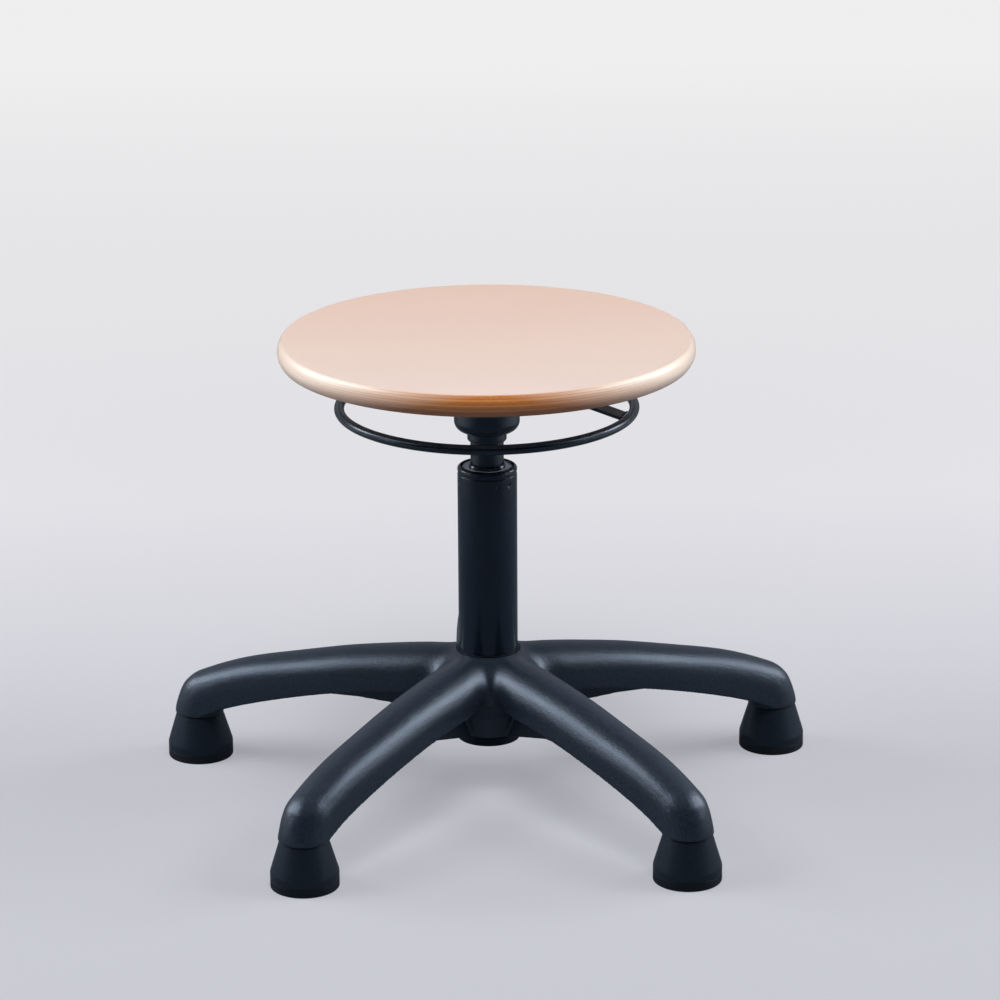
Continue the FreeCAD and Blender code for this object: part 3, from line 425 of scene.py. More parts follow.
def bare_metal(name, colour, paler, gloss, line_scale, line_depth, along=(1, 1, 1)):
    """Metal with fine lines, crowded on the axis that has the largest number."""
    finish = Finish(name)
    lines = finish.noise(line_scale, detail=3, vector=finish.stretched(along))
    shade = finish.mix(finish.clamp(lines, 0.35, 0.65), colour, paler)
    rough = finish.clamp(lines, 0.3, 0.7, gloss, gloss + 0.1)
    bump = finish.bump(lines, line_depth)
    return finish.surface(Base_Color=shade, Roughness=rough, Normal=bump, Metallic=1.0)


SOLE_RUBBER = rubber("sole_rubber", tone(23, 30, 39))
SEAL_RUBBER = rubber("seal_rubber", tone(15, 16, 18))
TUBE_COAT = black_coat("tube_coat", tone(16, 26, 37), 0.14, 0.015 * MM, shine=0.55)
RING_COAT = black_coat("ring_coat", tone(15, 24, 35), 0.2, 0.15 * MM, shine=0.7)
PLATE_COAT = black_coat("plate_coat", tone(16, 22, 30), 0.32, 0.08 * MM, peel_scale=300.0)
SLEEVE_STEEL = black_coat("sleeve_steel", tone(14, 18, 23), 0.4, 0.02 * MM, shine=0.3)
ZINC = bare_metal("zinc_plate", tone(150, 153, 158), tone(178, 180, 184), 0.3, 500.0, 0.01 * MM)
GROUND_STEEL = bare_metal(
    "ground_steel", tone(188, 190, 193), tone(205, 206, 208), 0.12, 900.0, 0.004 * MM, (1, 1, 12)
)
TURNED_ALUMINIUM = bare_metal(
    "turned_aluminium", tone(168, 170, 173), tone(190, 191, 193), 0.25, 700.0, 0.01 * MM, (1, 1, 10)
)

# %% [markdown]
# ## Beech plywood
#
# The faces of the panel are peeled beech: pale and pinkish, with fine darker flecks that
# run with the grain and broad soft bands between them. The edge is another thing
# altogether, because it cuts the plies. Each ply runs crosswise to the next, so going
# round the edge a ply turns from long grain to darker end grain while its neighbours do
# the opposite. We work that out from the height and from the direction of each point.
# By the same two measures the lacquer gets a painted highlight towards both sides, where the
# lamps stand, and painted shade towards the lower face.

# %% Veneer and edge finishes
PLY_BOTTOM, PLY_TOP = (corner.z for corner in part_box("seat_panel"))
PLIES = 9
PLY_THICKNESS = (PLY_TOP - PLY_BOTTOM) / PLIES
SEAT_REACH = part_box("seat_panel")[1].x
# The front colours are paler than the back ones: that difference is a painted sheen, not the wood's own
# tone.
VENEER_BACK = (tone(230, 200, 184), tone(232, 204, 190))
VENEER_FRONT_SHEEN = (tone(231, 213, 205), tone(233, 217, 210))
FIBRE = tone(223, 190, 172)
FLECK = tone(208, 168, 145)
LONG_GRAIN = (tone(240, 162, 86), tone(226, 142, 70))
END_GRAIN = (tone(210, 126, 62), tone(178, 96, 44))
# The low edge colour is painted shade, for the lower part of the edge that faces down, away from the
# lamps.
EDGE_PAINTED_SHADE = tone(108, 60, 38)
# The pale edge colour is a painted highlight: the lacquer's shine where the side lamps fall on it.
EDGE_PAINTED_HIGHLIGHT = tone(255, 236, 220)
GLUE = tone(128, 66, 34)
WAVER = 0.16


def beech_veneer():
    """Peeled beech, with a painted sheen that makes it paler towards the front."""
    finish = Finish("beech_veneer")
    bands = finish.noise(7.0, detail=3, vector=finish.stretched((1.0, 2.2, 1.0)))
    fibres = finish.noise(70.0, detail=6, vector=finish.stretched((1.0, 14.0, 1.0)), roughness=0.65)
    flecks = finish.noise(200.0, detail=2, vector=finish.stretched((1.0, 7.0, 1.0)))
    band = finish.clamp(bands, 0.3, 0.7)
    back = finish.mix(band, *VENEER_BACK)
    front = finish.mix(band, *VENEER_FRONT_SHEEN)
    _, depth, _ = finish.axes(finish.place())
    # Painted sheen: towards the front the veneer is blended to the paler front colours.
    shade = finish.mix(finish.clamp(depth + bands * 0.1, -SEAT_REACH, SEAT_REACH), front, back)
    shade = finish.mix(finish.clamp(fibres, 0.35, 0.7, 0.0, 0.15), shade, FIBRE)
    shade = finish.mix(finish.clamp(flecks, 0.62, 0.72, 0.0, 0.2), shade, FLECK)
    rough = finish.clamp(fibres, 0.3, 0.7, 0.52, 0.62)
    bump = finish.bump(fibres * 0.7 + flecks * -0.3, 0.03 * MM)
    return finish.surface(
        Base_Color=shade, Roughness=rough, Normal=bump, Specular_IOR_Level=0.3, Coat_Weight=0.05
    )


def ply_edge():
    """The cut plies round the edge, under lacquer, with painted shade low down and a painted highlight
    at the sides.
    """
    finish = Finish("ply_edge")
    across, along, height = finish.axes(finish.place())
    level = (height - PLY_BOTTOM) / PLY_THICKNESS + finish.noise(30.0, detail=2) * WAVER
    crosswise = finish.clamp(finish.maths("PINGPONG", level, 1.0), 0.4, 0.6)
    reach = finish.maths("SQRT", across * across + along * along)
    side = finish.maths("ABSOLUTE", across / reach)
    front = finish.maths("ABSOLUTE", along / reach)
    end_grain = side * crosswise + front * (1 - crosswise)
    glue = finish.clamp(finish.maths("FRACT", level + 0.5), 0.0, 0.2, 1.0, 0.0)
    fibres = finish.noise(120.0, detail=5, vector=finish.stretched((1.0, 1.0, 14.0)), roughness=0.6)
    pores = finish.noise(900.0, detail=2)
    shade = finish.mix(finish.clamp(fibres, 0.3, 0.7), *LONG_GRAIN)
    dark = finish.mix(finish.clamp(pores, 0.4, 0.65), *END_GRAIN)
    shade = finish.mix(finish.clamp(end_grain, 0.25, 0.9, 0.0, 0.7), shade, dark)
    # Painted shade: the lower part of the edge is darkened towards the low colour.
    low = finish.clamp(height, PLY_BOTTOM, PLY_TOP - PLY_THICKNESS, 0.7, 0.0)
    shade = finish.mix(low, shade, EDGE_PAINTED_SHADE)
    # Painted highlight: the lacquer is made paler towards both sides and the top, where the lamps shine
    # on it; the glue lines are drawn fainter there.
    highlight_share = side + finish.clamp(height, PLY_BOTTOM, PLY_TOP, -0.36, 0.12)
    shade = finish.mix(finish.clamp(highlight_share, 0.14, 0.76, 0.0, 0.94), shade, EDGE_PAINTED_HIGHLIGHT)
    shade = finish.mix(glue * (0.8 - 0.6 * side), shade, GLUE)
    bump = finish.bump(fibres * 0.4 - glue * 0.6 + pores * end_grain * 0.3, 0.04 * MM)
    return finish.surface(
        Base_Color=shade, Roughness=0.36, Normal=bump, Coat_Weight=1.0, Coat_Roughness=0.45, Coat_IOR=1.6
    )


VENEER = beech_veneer()
EDGE = ply_edge()

# %% [markdown]
# ## Turning on a lathe
#
# Most of this stool is round, and was made on a lathe, drawn from tube or moulded round
# an axis. A profile of radii and heights, spun round the axis, gives the same shapes.
# Real edges are never sharp, so each corner of the profile has its own small rounding,
# and the flat sides get a support point close to it, which keeps their shading flat.
# The corners below are all written as radius, height and rounding, in millimetres.

# %% Lathe
ARC_STEPS = 6
SUPPORT = 0.35
ON_AXIS = 1e-6


def rounded(corners, closed=True):
    """Points of a profile from corners of (radius, height, rounding)."""
    points = []
    count = len(corners)
    for number, (out, up, rounding) in enumerate(corners):
        here = Vector((out, up))
        if rounding == 0 or (not closed and number in (0, count - 1)):
            points.append(here)
            continue
        before = (Vector(corners[number - 1][:2]) - here).normalized()
        after = (Vector(corners[(number + 1) % count][:2]) - here).normalized()
        half = before.angle(after) / 2
        reach = rounding / math.tan(half)
        centre = here + (before + after).normalized() * (rounding / math.sin(half))
        start = here + before * reach
        end = here + after * reach
        points.append(start + before * rounding * SUPPORT)
        for step in range(ARC_STEPS + 1):
            spoke = (start - centre).lerp(end - centre, step / ARC_STEPS)
            points.append(centre + spoke.normalized() * rounding)
        points.append(end + after * rounding * SUPPORT)
    return points


def lathe(name, points, steps=128, closed=True, place=(0, 0, 0)):
    """Spin a profile, in millimetres, round an upright axis."""
    maker = bmesh.new()
    rings = []
    for out, up in points:
        if abs(out) < ON_AXIS:
            rings.append([maker.verts.new((0, 0, up * MM))])
            continue
        ring = []
        for step in range(steps):
            angle = 2 * math.pi * step / steps
            spot = (out * MM * math.cos(angle), out * MM * math.sin(angle), up * MM)
            ring.append(maker.verts.new(spot))
        rings.append(ring)
    pairs = list(zip(rings, rings[1:]))
    if closed:
        pairs.append((rings[-1], rings[0]))
    for low, high in pairs:
        for step in range(steps):
            following = (step + 1) % steps
            corners = [low[step % len(low)], low[following % len(low)]]
            corners += [high[following % len(high)], high[step % len(high)]]
            corners = list(dict.fromkeys(corners))
            if len(corners) > 2:
                maker.faces.new(corners)
    bmesh.ops.recalc_face_normals(maker, faces=maker.faces)
    return added(name, maker, place)


def added(name, maker, place=(0, 0, 0)):
    """Put a finished mesh into the scene as a smooth-shaded piece."""
    mesh = bpy.data.meshes.new(name)
    maker.to_mesh(mesh)
    maker.free()
    mesh.shade_smooth()
    piece = bpy.data.objects.new(name, mesh)
    piece.location = place
    bpy.context.scene.collection.objects.link(piece)
    return piece


def dressed(piece, body, material, slot, *replaced):
    """Give a piece its finish and its body, and hide the CAD nodes that it stands for."""
    piece.data.materials.clear()
    piece.data.materials.append(material)
    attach(piece, body)
    if replaced:
        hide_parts(*replaced)


# %% [markdown]
# ## The seat
#
# The panel has flat faces and an edge that swells gently between two borders. The swell is
# an arc. The borders are rounded by two or three millimetres, as sanding leaves them, and
# that is what draws the thin bright line round the top.

# %% Panel of the seat
SEAT_RADIUS = SEAT_REACH / MM
SEAT_LOW = PLY_BOTTOM / MM
SEAT_HIGH = PLY_TOP / MM
SEAT_BULGE = 4.0
BORDER = 2.6
EDGE_STEPS = 20
BORDER_STEPS = 8
SEAT_STEPS = 256
FACE_SHARES = (0, 0.35, 0.7, 0.95)
FACE_TILT = 0.9


def seat_profile():
    """Half of the panel's section: flat face, rounded border, arched edge, and again."""
    half = (SEAT_HIGH - SEAT_LOW) / 2
    arc = (half * half + SEAT_BULGE * SEAT_BULGE) / (2 * SEAT_BULGE)
    lift = half - BORDER
    reach = math.sqrt((arc - BORDER) ** 2 - lift**2)
    turn = math.atan2(lift, reach)
    border_out = SEAT_RADIUS - arc + reach
    quarter = [(border_out * share, half) for share in FACE_SHARES]
    for step in range(BORDER_STEPS + 1):
        angle = math.pi / 2 - (math.pi / 2 - turn) * step / BORDER_STEPS
        quarter.append((border_out + BORDER * math.cos(angle), lift + BORDER * math.sin(angle)))
    for step in range(1, EDGE_STEPS):
        angle = turn * (1 - step / EDGE_STEPS)
        quarter.append((SEAT_RADIUS - arc + arc * math.cos(angle), arc * math.sin(angle)))
    print("border begins", round(border_out, 1), "mm out")
    lower = [(out, -up) for out, up in quarter]
    middle = (SEAT_HIGH + SEAT_LOW) / 2
    points = quarter + [(SEAT_RADIUS, 0.0)] + lower[::-1]
    return [Vector((out, middle + up)) for out, up in points]


def make_seat():
    """The panel, with the veneer on its faces and the plies on its edge."""
    seat = lathe("seat_top", seat_profile(), steps=SEAT_STEPS, closed=False)
    seat.data.materials.append(VENEER)
    seat.data.materials.append(EDGE)
    for face in seat.data.polygons:
        face.material_index = 1 if abs(face.normal.z) < FACE_TILT else 0
    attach(seat, "column")
    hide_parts("seat_panel")
    return seat


print("seat faces", len(make_seat().data.polygons))

# %% [markdown]
# ## The ring handle and its spokes
#
# The handle is drawn wire, rolled to a circle and welded to the ends of two flat spokes.
# The weld leaves a low bead on both sides of each spoke. The spokes and their disc stay
# as the CAD has them, and only get a soft edge.

# %% Ring, beads and rocker
RING_LOW, RING_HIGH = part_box("ring_handle")
WIRE_RADIUS = (RING_HIGH.z - RING_LOW.z) / 2 / MM
RING_HEIGHT = (RING_HIGH.z + RING_LOW.z) / 2 / MM
RING_RADIUS = RING_HIGH.x / MM - WIRE_RADIUS
WIRE_STEPS = 32
RING_STEPS = 288
SPOKE_YAW = math.radians(-18.9)
SPOKE_WIDTH = 16.0
SPOKE_ABOVE = 0.6
BEAD_RADIUS = 1.7
BEAD_STEPS = 40
BEAD_SIDES = 10
BEAD_PAST = 1.0
BEAD_END = 0.05
BEAD_SWELL = 0.4
BEAD_RIPPLE = 0.14
BEAD_RIPPLES = 9
BEAD_IN = 0.86
BEAD_UP = 2.1


def make_ring():
    """The wire, rolled to a circle."""
    wire = []
    for step in range(WIRE_STEPS):
        angle = 2 * math.pi * step / WIRE_STEPS
        out = RING_RADIUS + WIRE_RADIUS * math.cos(angle)
        wire.append((out, RING_HEIGHT + WIRE_RADIUS * math.sin(angle)))
    ring = lathe("ring_wire", wire, steps=RING_STEPS)
    dressed(ring, "ring_lever", RING_COAT, "black_paint", "ring_handle")


def make_bead(name, spoke_end, upper):
    """A rippled weld bead along the line where a spoke meets the wire."""
    maker = bmesh.new()
    rings = []
    reach = SPOKE_WIDTH / 2 + BEAD_PAST
    up = RING_HEIGHT + SPOKE_ABOVE + upper * BEAD_UP
    for step in range(BEAD_STEPS + 1):
        share = step / BEAD_STEPS
        along = -reach + 2 * reach * share
        swell = math.sin(math.pi * share) ** BEAD_SWELL if 0 < share < 1 else BEAD_END
        ripple = 1 + BEAD_RIPPLE * math.sin(share * BEAD_RIPPLES * 2 * math.pi)
        thick = BEAD_RADIUS * swell * ripple
        out = math.sqrt(RING_RADIUS**2 - along**2) - WIRE_RADIUS * BEAD_IN
        ring = []
        for side in range(BEAD_SIDES):
            angle = 2 * math.pi * side / BEAD_SIDES
            spot_out = (out + thick * math.cos(angle)) * MM
            spot_up = (up + thick * math.sin(angle)) * MM
            ring.append(maker.verts.new((spot_out, along * MM, spot_up)))
        rings.append(ring)
    for low, high in zip(rings, rings[1:]):
        for side in range(BEAD_SIDES):
            following = (side + 1) % BEAD_SIDES
            maker.faces.new((low[side], low[following], high[following], high[side]))
    maker.faces.new(rings[0])
    maker.faces.new(list(reversed(rings[-1])))
    bmesh.ops.rotate(maker, verts=maker.verts, matrix=Matrix.Rotation(SPOKE_YAW + spoke_end, 3, "Z"))
    bmesh.ops.recalc_face_normals(maker, faces=maker.faces)
    dressed(added(name, maker), "ring_lever", RING_COAT, "black_paint")


make_ring()
for number, turn_by in enumerate((0.0, math.pi), start=1):
    make_bead("weld_bead_%d_top" % number, turn_by, 1)
    make_bead("weld_bead_%d_under" % number, turn_by, -1)
print("ring and beads made")

# %% [markdown]
# ## Housing and cone socket
#
# A deep-drawn cup hides the rocker. Under it the cone socket shows as a short collar with
# a rolled lip. Both are simple turnings, but the cup's two windows for the spokes are cut
# in the CAD piece, so that one stays and only gets a new finish.

# %% Keeping a CAD node, with soft edges
BEVEL_ANGLE = math.radians(28)


def kept(node, material, edge=0.0):
    """Keep a CAD node as it is, with a better finish and lightly rounded edges."""
    piece = NODES[node]
    piece.data.materials.clear()
    piece.data.materials.append(material)
    for face in piece.data.polygons:
        face.material_index = 0
    if edge:
        bevel = piece.modifiers.new("soft_edges", "BEVEL")
        bevel.width = edge * MM
        bevel.segments = 2
        bevel.limit_method = "ANGLE"
        bevel.angle_limit = BEVEL_ANGLE


kept("cup_housing", TUBE_COAT)
kept("rocker_plate", RING_COAT, 0.5)
kept("fulcrum_ring", PLATE_COAT, 0.3)
kept("seat_plate", PLATE_COAT, 0.4)

SOCKET_RADIUS = 16.5
SOCKET_LIP = 1.9
SOCKET_MOUTH = 14.1
SOCKET_NECK = 13.1


def make_socket():
    low, high = heights("cone_socket")
    corners = [
        (SOCKET_MOUTH, low, 0.6),
        (SOCKET_RADIUS, low, SOCKET_LIP),
        (SOCKET_RADIUS, high, 0.5),
        (SOCKET_NECK, high, 0.5),
    ]
    socket = lathe("cone_collar", rounded(corners))
    dressed(socket, "column", TUBE_COAT, "black_paint", "cone_socket")


make_socket()

# %% [markdown]
# ## The gas lift
#
# The stand tube has a rolled rim, a groove crimped into it to hold the guide bush, and
# pairs of small punch marks below. We spin the tube with fine rows where the marks are
# and then press each mark in by moving the nearby points towards the axis, as a punch
# would. The bush's grey face and the wiper ring show inside the rim.

# %% Stand tube
# The clearance between pieces that sit in each other, and round a tube that slides.
FIT = 0.04
SLIDE_FIT = 0.06
STAND_RADIUS = 25.0
STAND_WALL = 2.0
STAND_STEPS = 384
STAND_LOW, STAND_TOP = heights("stand_tube")
SLEEVE_LOW, SLEEVE_TOP = heights("hub_sleeve")
SLEEVE_PROUD = 0.4
HUB_TOP = SLEEVE_TOP - SLEEVE_PROUD
CONE_SLOPE = 0.0251
RIM_ROUND = 2.6
RIM_IN = 21.9
RIM_LIP = 0.7
RIM_CONE = 1.4
GROOVE = (STAND_TOP - 7.0, STAND_TOP - 4.0)
GROOVE_DEPTH = 0.7
GROOVE_SOFT = 0.8
GROOVE_CRISP = 0.35
PUNCH_HEIGHT = STAND_TOP - 12.9
PUNCH_RADIUS = 1.9
PUNCH_DEPTH = 1.0
PUNCH_FADE = 1.6
PUNCH_CURVE = 2.2
PUNCH_SKIN = 0.5
PUNCH_FIRST = -69.4
PUNCH_STEP = 26.4
PUNCH_PAIRS = 3
PUNCH_ROWS = 20
PUNCH_ROW = 0.4


def stand_profile():
    """The section of the stand tube, with fine rows where the marks go."""
    foot = STAND_RADIUS - (HUB_TOP - STAND_LOW) * CONE_SLOPE
    inside = STAND_RADIUS - STAND_WALL
    rows_low = PUNCH_HEIGHT - PUNCH_ROW * PUNCH_ROWS / 2
    low, high = GROOVE
    waist = STAND_RADIUS - GROOVE_DEPTH
    corners = [(foot, STAND_LOW, 0.4), (STAND_RADIUS, HUB_TOP, 0)]
    corners += [(STAND_RADIUS, rows_low + PUNCH_ROW * row, 0) for row in range(PUNCH_ROWS)]
    corners += [
        (STAND_RADIUS, low, GROOVE_SOFT),
        (waist, low + GROOVE_DEPTH, GROOVE_CRISP),
        (waist, high - GROOVE_DEPTH, GROOVE_CRISP),
        (STAND_RADIUS, high, GROOVE_CRISP),
        (STAND_RADIUS, STAND_TOP, RIM_ROUND),
        (RIM_IN, STAND_TOP, 0.5),
        (RIM_IN, STAND_TOP - RIM_LIP, 0.2),
        (inside, STAND_TOP - RIM_CONE, 0.2),
        (inside, HUB_TOP, 0),
        (foot - STAND_WALL, STAND_LOW, 0.4),
    ]
    return rounded(corners)


def punch(tube):
    """Press pairs of round marks into a tube's outside."""
    marks = []
    for pair in range(PUNCH_PAIRS):
        first = PUNCH_FIRST + 360 / PUNCH_PAIRS * pair
        marks += [math.radians(first), math.radians(first + PUNCH_STEP)]
    for vertex in tube.data.vertices:
        out = math.hypot(vertex.co.x, vertex.co.y) / MM
        if out < STAND_RADIUS - PUNCH_SKIN:
            continue
        for angle in marks:
            turned = (math.atan2(vertex.co.y, vertex.co.x) - angle + math.pi) % (2 * math.pi) - math.pi
            away = math.hypot(turned * STAND_RADIUS, vertex.co.z / MM - PUNCH_HEIGHT)
            if away < PUNCH_RADIUS * PUNCH_FADE:
                dip = PUNCH_DEPTH * math.exp(-((away / PUNCH_RADIUS) ** 2) * PUNCH_CURVE)
                share = 1 - dip / STAND_RADIUS
                vertex.co.x *= share
                vertex.co.y *= share


def make_stand_tube():
    tube = lathe("lift_stand_tube", stand_profile(), steps=STAND_STEPS)
    punch(tube)
    dressed(tube, "base", TUBE_COAT, "black_paint", "stand_tube")


make_stand_tube()

# %% Pressure tube, bush and wiper
TUBE_RADIUS = 14.0
TUBE_BORE = 11.2
TUBE_MOUTH = 9.7
TUBE_CURL = 2.0
BUSH_RADIUS = STAND_RADIUS - STAND_WALL - FIT
BUSH_BORE = TUBE_RADIUS + SLIDE_FIT
BUSH_BEVEL = 1.6
WIPER_RADIUS = 15.4
WIPER_SEAT = 2.4
LIP_RADIUS = 14.73
LIP_HEIGHT = 1.3


def make_pressure_tube():
    low, high = heights("pressure_tube")
    cone_low, _ = heights("cone_socket")
    corners = [
        (TUBE_MOUTH, low, 0.4),
        (TUBE_RADIUS, low, 1.2),
        (TUBE_RADIUS, cone_low, 0),
        (TUBE_RADIUS - (high - cone_low) * CONE_SLOPE, high, 0.5),
        (TUBE_BORE, high, 0.3),
        (TUBE_BORE, low + TUBE_CURL, 0.3),
        (TUBE_MOUTH, low + TUBE_CURL, 0.3),
    ]
    tube = lathe("lift_pressure_tube", rounded(corners))
    dressed(tube, "column", TUBE_COAT, "black_paint", "pressure_tube")


def make_bush():
    """The grey bush that guides the pressure tube, with a seat for the wiper."""
    low, high = heights("guide_bush")
    corners = [
        (BUSH_BORE, low, 0.4),
        (BUSH_RADIUS, low, 0.4),
        (BUSH_RADIUS, high - BUSH_BEVEL, 0.4),
        (BUSH_RADIUS - BUSH_BEVEL, high, 0.5),
        (WIPER_RADIUS + FIT, high, 0.3),
        (WIPER_RADIUS + FIT, high - WIPER_SEAT, 0),
        (BUSH_BORE, high - WIPER_SEAT, 0.2),
    ]
    bush = lathe("lift_guide_bush", rounded(corners))
    dressed(bush, "base", BUSH_PLASTIC, "grey_plastic", "guide_bush")


def make_wiper():
    low, high = heights("wiper_ring")
    corners = [
        (BUSH_BORE, low, 0.2),
        (WIPER_RADIUS, low, 0.2),
        (WIPER_RADIUS, high - LIP_HEIGHT, 0.35),
        (LIP_RADIUS, high, 0.3),
        (BUSH_BORE, high, 0.2),
    ]
    wiper = lathe("lift_wiper", rounded(corners))
    dressed(wiper, "base", TUBE_COAT, "black_rubber", "wiper_ring")


make_pressure_tube()
make_bush()
make_wiper()
print("gas lift made")

# %% [markdown]
# ## The moulded base
#
# The CAD base has the true sections of the arms, but a sharp valley where two arms meet.
# The moulding flows there in a soft saddle. We copy the solid, remesh it into an even
# skin, and then let the skin relax: many times in the valleys, less strongly round the cap
# and at each arm's heel, and elsewhere just enough to break the edges. Last, the bore's
# wall is pushed clear of the sleeve.

# %% Base skin
SKIN_STEP = 0.9
ARM_COUNT = 5
FIRST_ARM = math.radians(90)
VALLEY_PASSES = 260
EDGE_PASSES = 6
PULL = 0.5
BORE_SEEN = 28.0
BORE_CLEAR = 27.0
# Each pair is a band, in millimetres, over which the relaxing fades in or out.
VALLEY_SIDE = (7.0, 20.0)
VALLEY_START = (27.5, 31.0)
VALLEY_END = (58.0, 78.0)
VALLEY_FLOOR = (84.0, 90.0)
CAP_END = (44.0, 56.0)
CAP_FLOOR = (100.0, 106.0)
CAP_SHARE = 0.4
HEEL_START = (262.0, 270.0)
HEEL_FLOOR = (44.0, 50.0)
HEEL_CEILING = (60.0, 66.0)
HEEL_SHARE = 0.3


def remeshed(name, node, step):
    """An even skin over a copy of a CAD node's mesh."""
    source = NODES[node]
    copy = bpy.data.objects.new(name, source.data.copy())
    bpy.context.scene.collection.objects.link(copy)
    remesh = copy.modifiers.new("skin", "REMESH")
    remesh.mode = "VOXEL"
    remesh.voxel_size = step * MM
    graph = bpy.context.evaluated_depsgraph_get()
    mesh = bpy.data.meshes.new_from_object(copy.evaluated_get(graph))
    mesh.name = name
    copy.modifiers.clear()
    copy.data = mesh
    return copy


def relaxed(points, edges, weights, passes):
    """Move each point towards its neighbours' middle, by its weight; 0 leaves it still."""
    count = len(points)
    moving = weights > 0
    edges = edges[moving[edges[:, 0]] | moving[edges[:, 1]]]
    first, second = edges[:, 0], edges[:, 1]
    near = np.bincount(first, minlength=count) + np.bincount(second, minlength=count)
    near = np.maximum(near, 1)[:, None]
    for _ in range(passes):
        total = np.zeros_like(points)
        for axis in range(3):
            total[:, axis] = np.bincount(first, points[second, axis], count)
            total[:, axis] += np.bincount(second, points[first, axis], count)
        points = points + (total / near - points) * weights[:, None]
    return points


def eased(values, low, high):
    """0 below low, 1 above high and smooth between."""
    share = np.clip((values - low) / (high - low), 0, 1)
    return share * share * (3 - 2 * share)


def relax_weights(points):
    """How strongly each point of the base relaxes, 0 to 1."""
    out = np.hypot(points[:, 0], points[:, 1]) / MM
    up = points[:, 2] / MM
    sector = 2 * math.pi / ARM_COUNT
    angle = np.arctan2(points[:, 1], points[:, 0]) - FIRST_ARM - sector / 2
    angle = (angle + sector / 2) % sector - sector / 2
    aside = np.abs(out * np.sin(angle))
    outside_bore = eased(out, *VALLEY_START)
    valley = (1 - eased(aside, *VALLEY_SIDE)) * outside_bore
    valley *= (1 - eased(out, *VALLEY_END)) * eased(up, *VALLEY_FLOOR)
    cap = outside_bore * (1 - eased(out, *CAP_END)) * eased(up, *CAP_FLOOR) * CAP_SHARE
    heel = eased(out, *HEEL_START) * eased(up, *HEEL_FLOOR) * (1 - eased(up, *HEEL_CEILING))
    return np.maximum(np.maximum(valley, cap), heel * HEEL_SHARE)


def cleared(points):
    """Push the bore's wall out a little, so that the sleeve stands free of it."""
    out = np.hypot(points[:, 0], points[:, 1]) / MM
    wall = out < BORE_SEEN
    points[wall, :2] *= (np.maximum(out[wall], BORE_CLEAR) / out[wall])[:, None]
    return points


def make_base():
    base = remeshed("base_skin", "base_star", SKIN_STEP)
    mesh = base.data
    points = np.empty(len(mesh.vertices) * 3)
    mesh.vertices.foreach_get("co", points)
    points = points.reshape(-1, 3)
    edges = np.empty(len(mesh.edges) * 2, int)
    mesh.edges.foreach_get("vertices", edges)
    edges = edges.reshape(-1, 2)
    points = relaxed(points, edges, relax_weights(points) * PULL, VALLEY_PASSES)
    points = cleared(relaxed(points, edges, np.full(len(points), PULL), EDGE_PASSES))
    mesh.vertices.foreach_set("co", points.ravel())
    mesh.update()
    mesh.shade_smooth()
    print("base skin", len(mesh.vertices), "points")
    dressed(base, "base", BASE_PLASTIC, "dark_plastic", "base_star")


make_base()

# %% [markdown]
# ## Hub sleeve, glides and soles
#
# A blackened steel sleeve lines the hub and stands a little proud of it. Each glide is a
# moulded bell on a steel pin, over a flat rubber sole with a softly broken edge.

# %% Sleeve
SLEEVE_RADIUS = 26.5


def make_sleeve():
    foot = STAND_RADIUS - (HUB_TOP - SLEEVE_LOW) * CONE_SLOPE + FIT
    head = STAND_RADIUS + FIT
    corners = [
        (foot, SLEEVE_LOW, 0.3),
        (SLEEVE_RADIUS, SLEEVE_LOW, 0.6),
        (SLEEVE_RADIUS, SLEEVE_TOP, 0.35),
        (head, SLEEVE_TOP, 0.3),
        (head, HUB_TOP, 0),
    ]
    sleeve = lathe("hub_lining", rounded(corners))
    dressed(sleeve, "base", SLEEVE_STEEL, "dark_steel", "hub_sleeve")


make_sleeve()

# %% Glides and soles
FOOT_RADIUS = sum(corner.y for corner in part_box("glide_1")) / 2 / MM
FOOT_STEPS = 96
GLIDE_RADIUS = 28.0
GLIDE_TOP = 40.0
SHOULDER_HEIGHT = 13.2
SHOULDER_ROUND = 8.0
NECK_RADIUS = 20.0
SOLE_TOP = 7.5
KNOB_RADIUS = 18.0
KNOB_TOP = 11.5
PIN_RADIUS = 5.5
PIN_FOOT = 20.0
GLIDE_CORNERS = [
    (0, KNOB_TOP, 0),
    (KNOB_RADIUS + FIT, KNOB_TOP, 0.3),
    (KNOB_RADIUS + FIT, SOLE_TOP, 0.3),
    (GLIDE_RADIUS, SOLE_TOP, 0.5),
    (GLIDE_RADIUS, SHOULDER_HEIGHT, SHOULDER_ROUND),
    (NECK_RADIUS, GLIDE_TOP, 0.4),
    (PIN_RADIUS + FIT, GLIDE_TOP, 0.3),
    (PIN_RADIUS + FIT, PIN_FOOT, 0.3),
    (0, PIN_FOOT, 0),
]
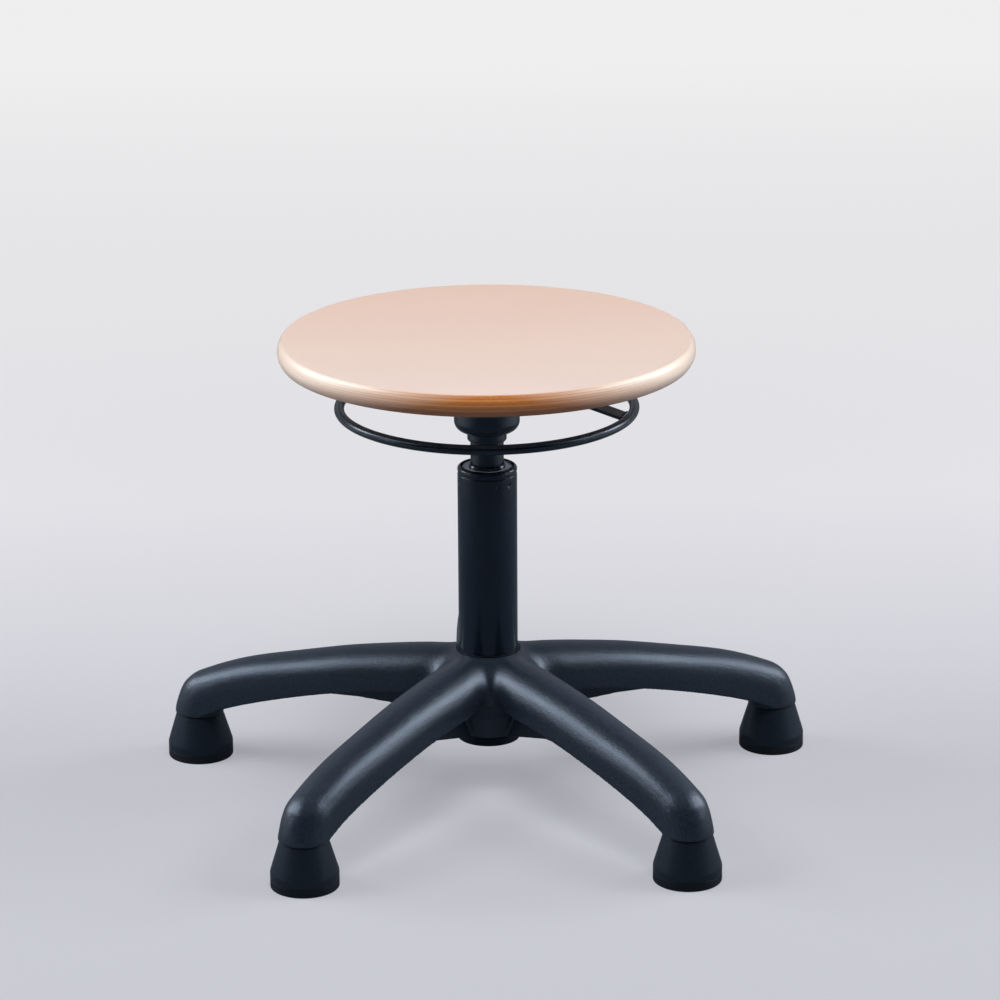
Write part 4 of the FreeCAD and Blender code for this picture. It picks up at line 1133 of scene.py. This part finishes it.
SOLE_CORNERS = [
    (0, 0, 0),
    (GLIDE_RADIUS, 0, 1.0),
    (GLIDE_RADIUS, SOLE_TOP, 0.7),
    (KNOB_RADIUS, SOLE_TOP, 0.2),
    (KNOB_RADIUS, KNOB_TOP, 0.4),
    (0, KNOB_TOP, 0),
]


def make_feet():
    for number in range(ARM_COUNT):
        angle = FIRST_ARM + 2 * math.pi * number / ARM_COUNT
        place = (FOOT_RADIUS * MM * math.cos(angle), FOOT_RADIUS * MM * math.sin(angle), 0)
        label = number + 1
        bell = rounded(GLIDE_CORNERS, closed=False)
        glide = lathe("glide_bell_%d" % label, bell, FOOT_STEPS, False, place)
        dressed(glide, "base", GLIDE_PLASTIC, "dark_plastic", "glide_%d" % label)
        pad = rounded(SOLE_CORNERS, closed=False)
        sole = lathe("glide_sole_%d" % label, pad, FOOT_STEPS, False, place)
        dressed(sole, "base", SOLE_RUBBER, "black_rubber", "sole_%d" % label)


make_feet()

# %% [markdown]
# ## Small and hidden pieces
#
# The screws, the bearing and the insides of the gas lift keep their CAD shapes. Each one
# still gets the finish of the real thing, because a library part is also seen from below
# and taken apart.

# %% Finishes for the rest
SMALL_EDGE = 0.15
SMALL_PIECES = (
    (ZINC, SMALL_EDGE, ("seat_screws", "screw_washers", "rod_washer")),
    (ZINC, 0, ("seat_inserts", "glide_pins", "grip_rings")),
    (ZINC, 0, ("bearing_race_lower", "bearing_race_upper")),
    (SLEEVE_STEEL, SMALL_EDGE, ("bottom_plate", "rod_clip")),
    (GROUND_STEEL, 0, ("piston_rod", "bearing_balls", "inner_cylinder", "release_button")),
    (TURNED_ALUMINIUM, 0, ("valve_body", "piston")),
    (BUSH_PLASTIC, 0, ("rod_guide", "ball_cage")),
    (SEAL_RUBBER, 0, ("buffer", "rod_seal", "valve_seal", "piston_ring")),
)
for material, edge, nodes in SMALL_PIECES:
    for node in nodes:
        kept(node, material, edge)
print("finishes for", sum(len(nodes) for _, _, nodes in SMALL_PIECES), "nodes")
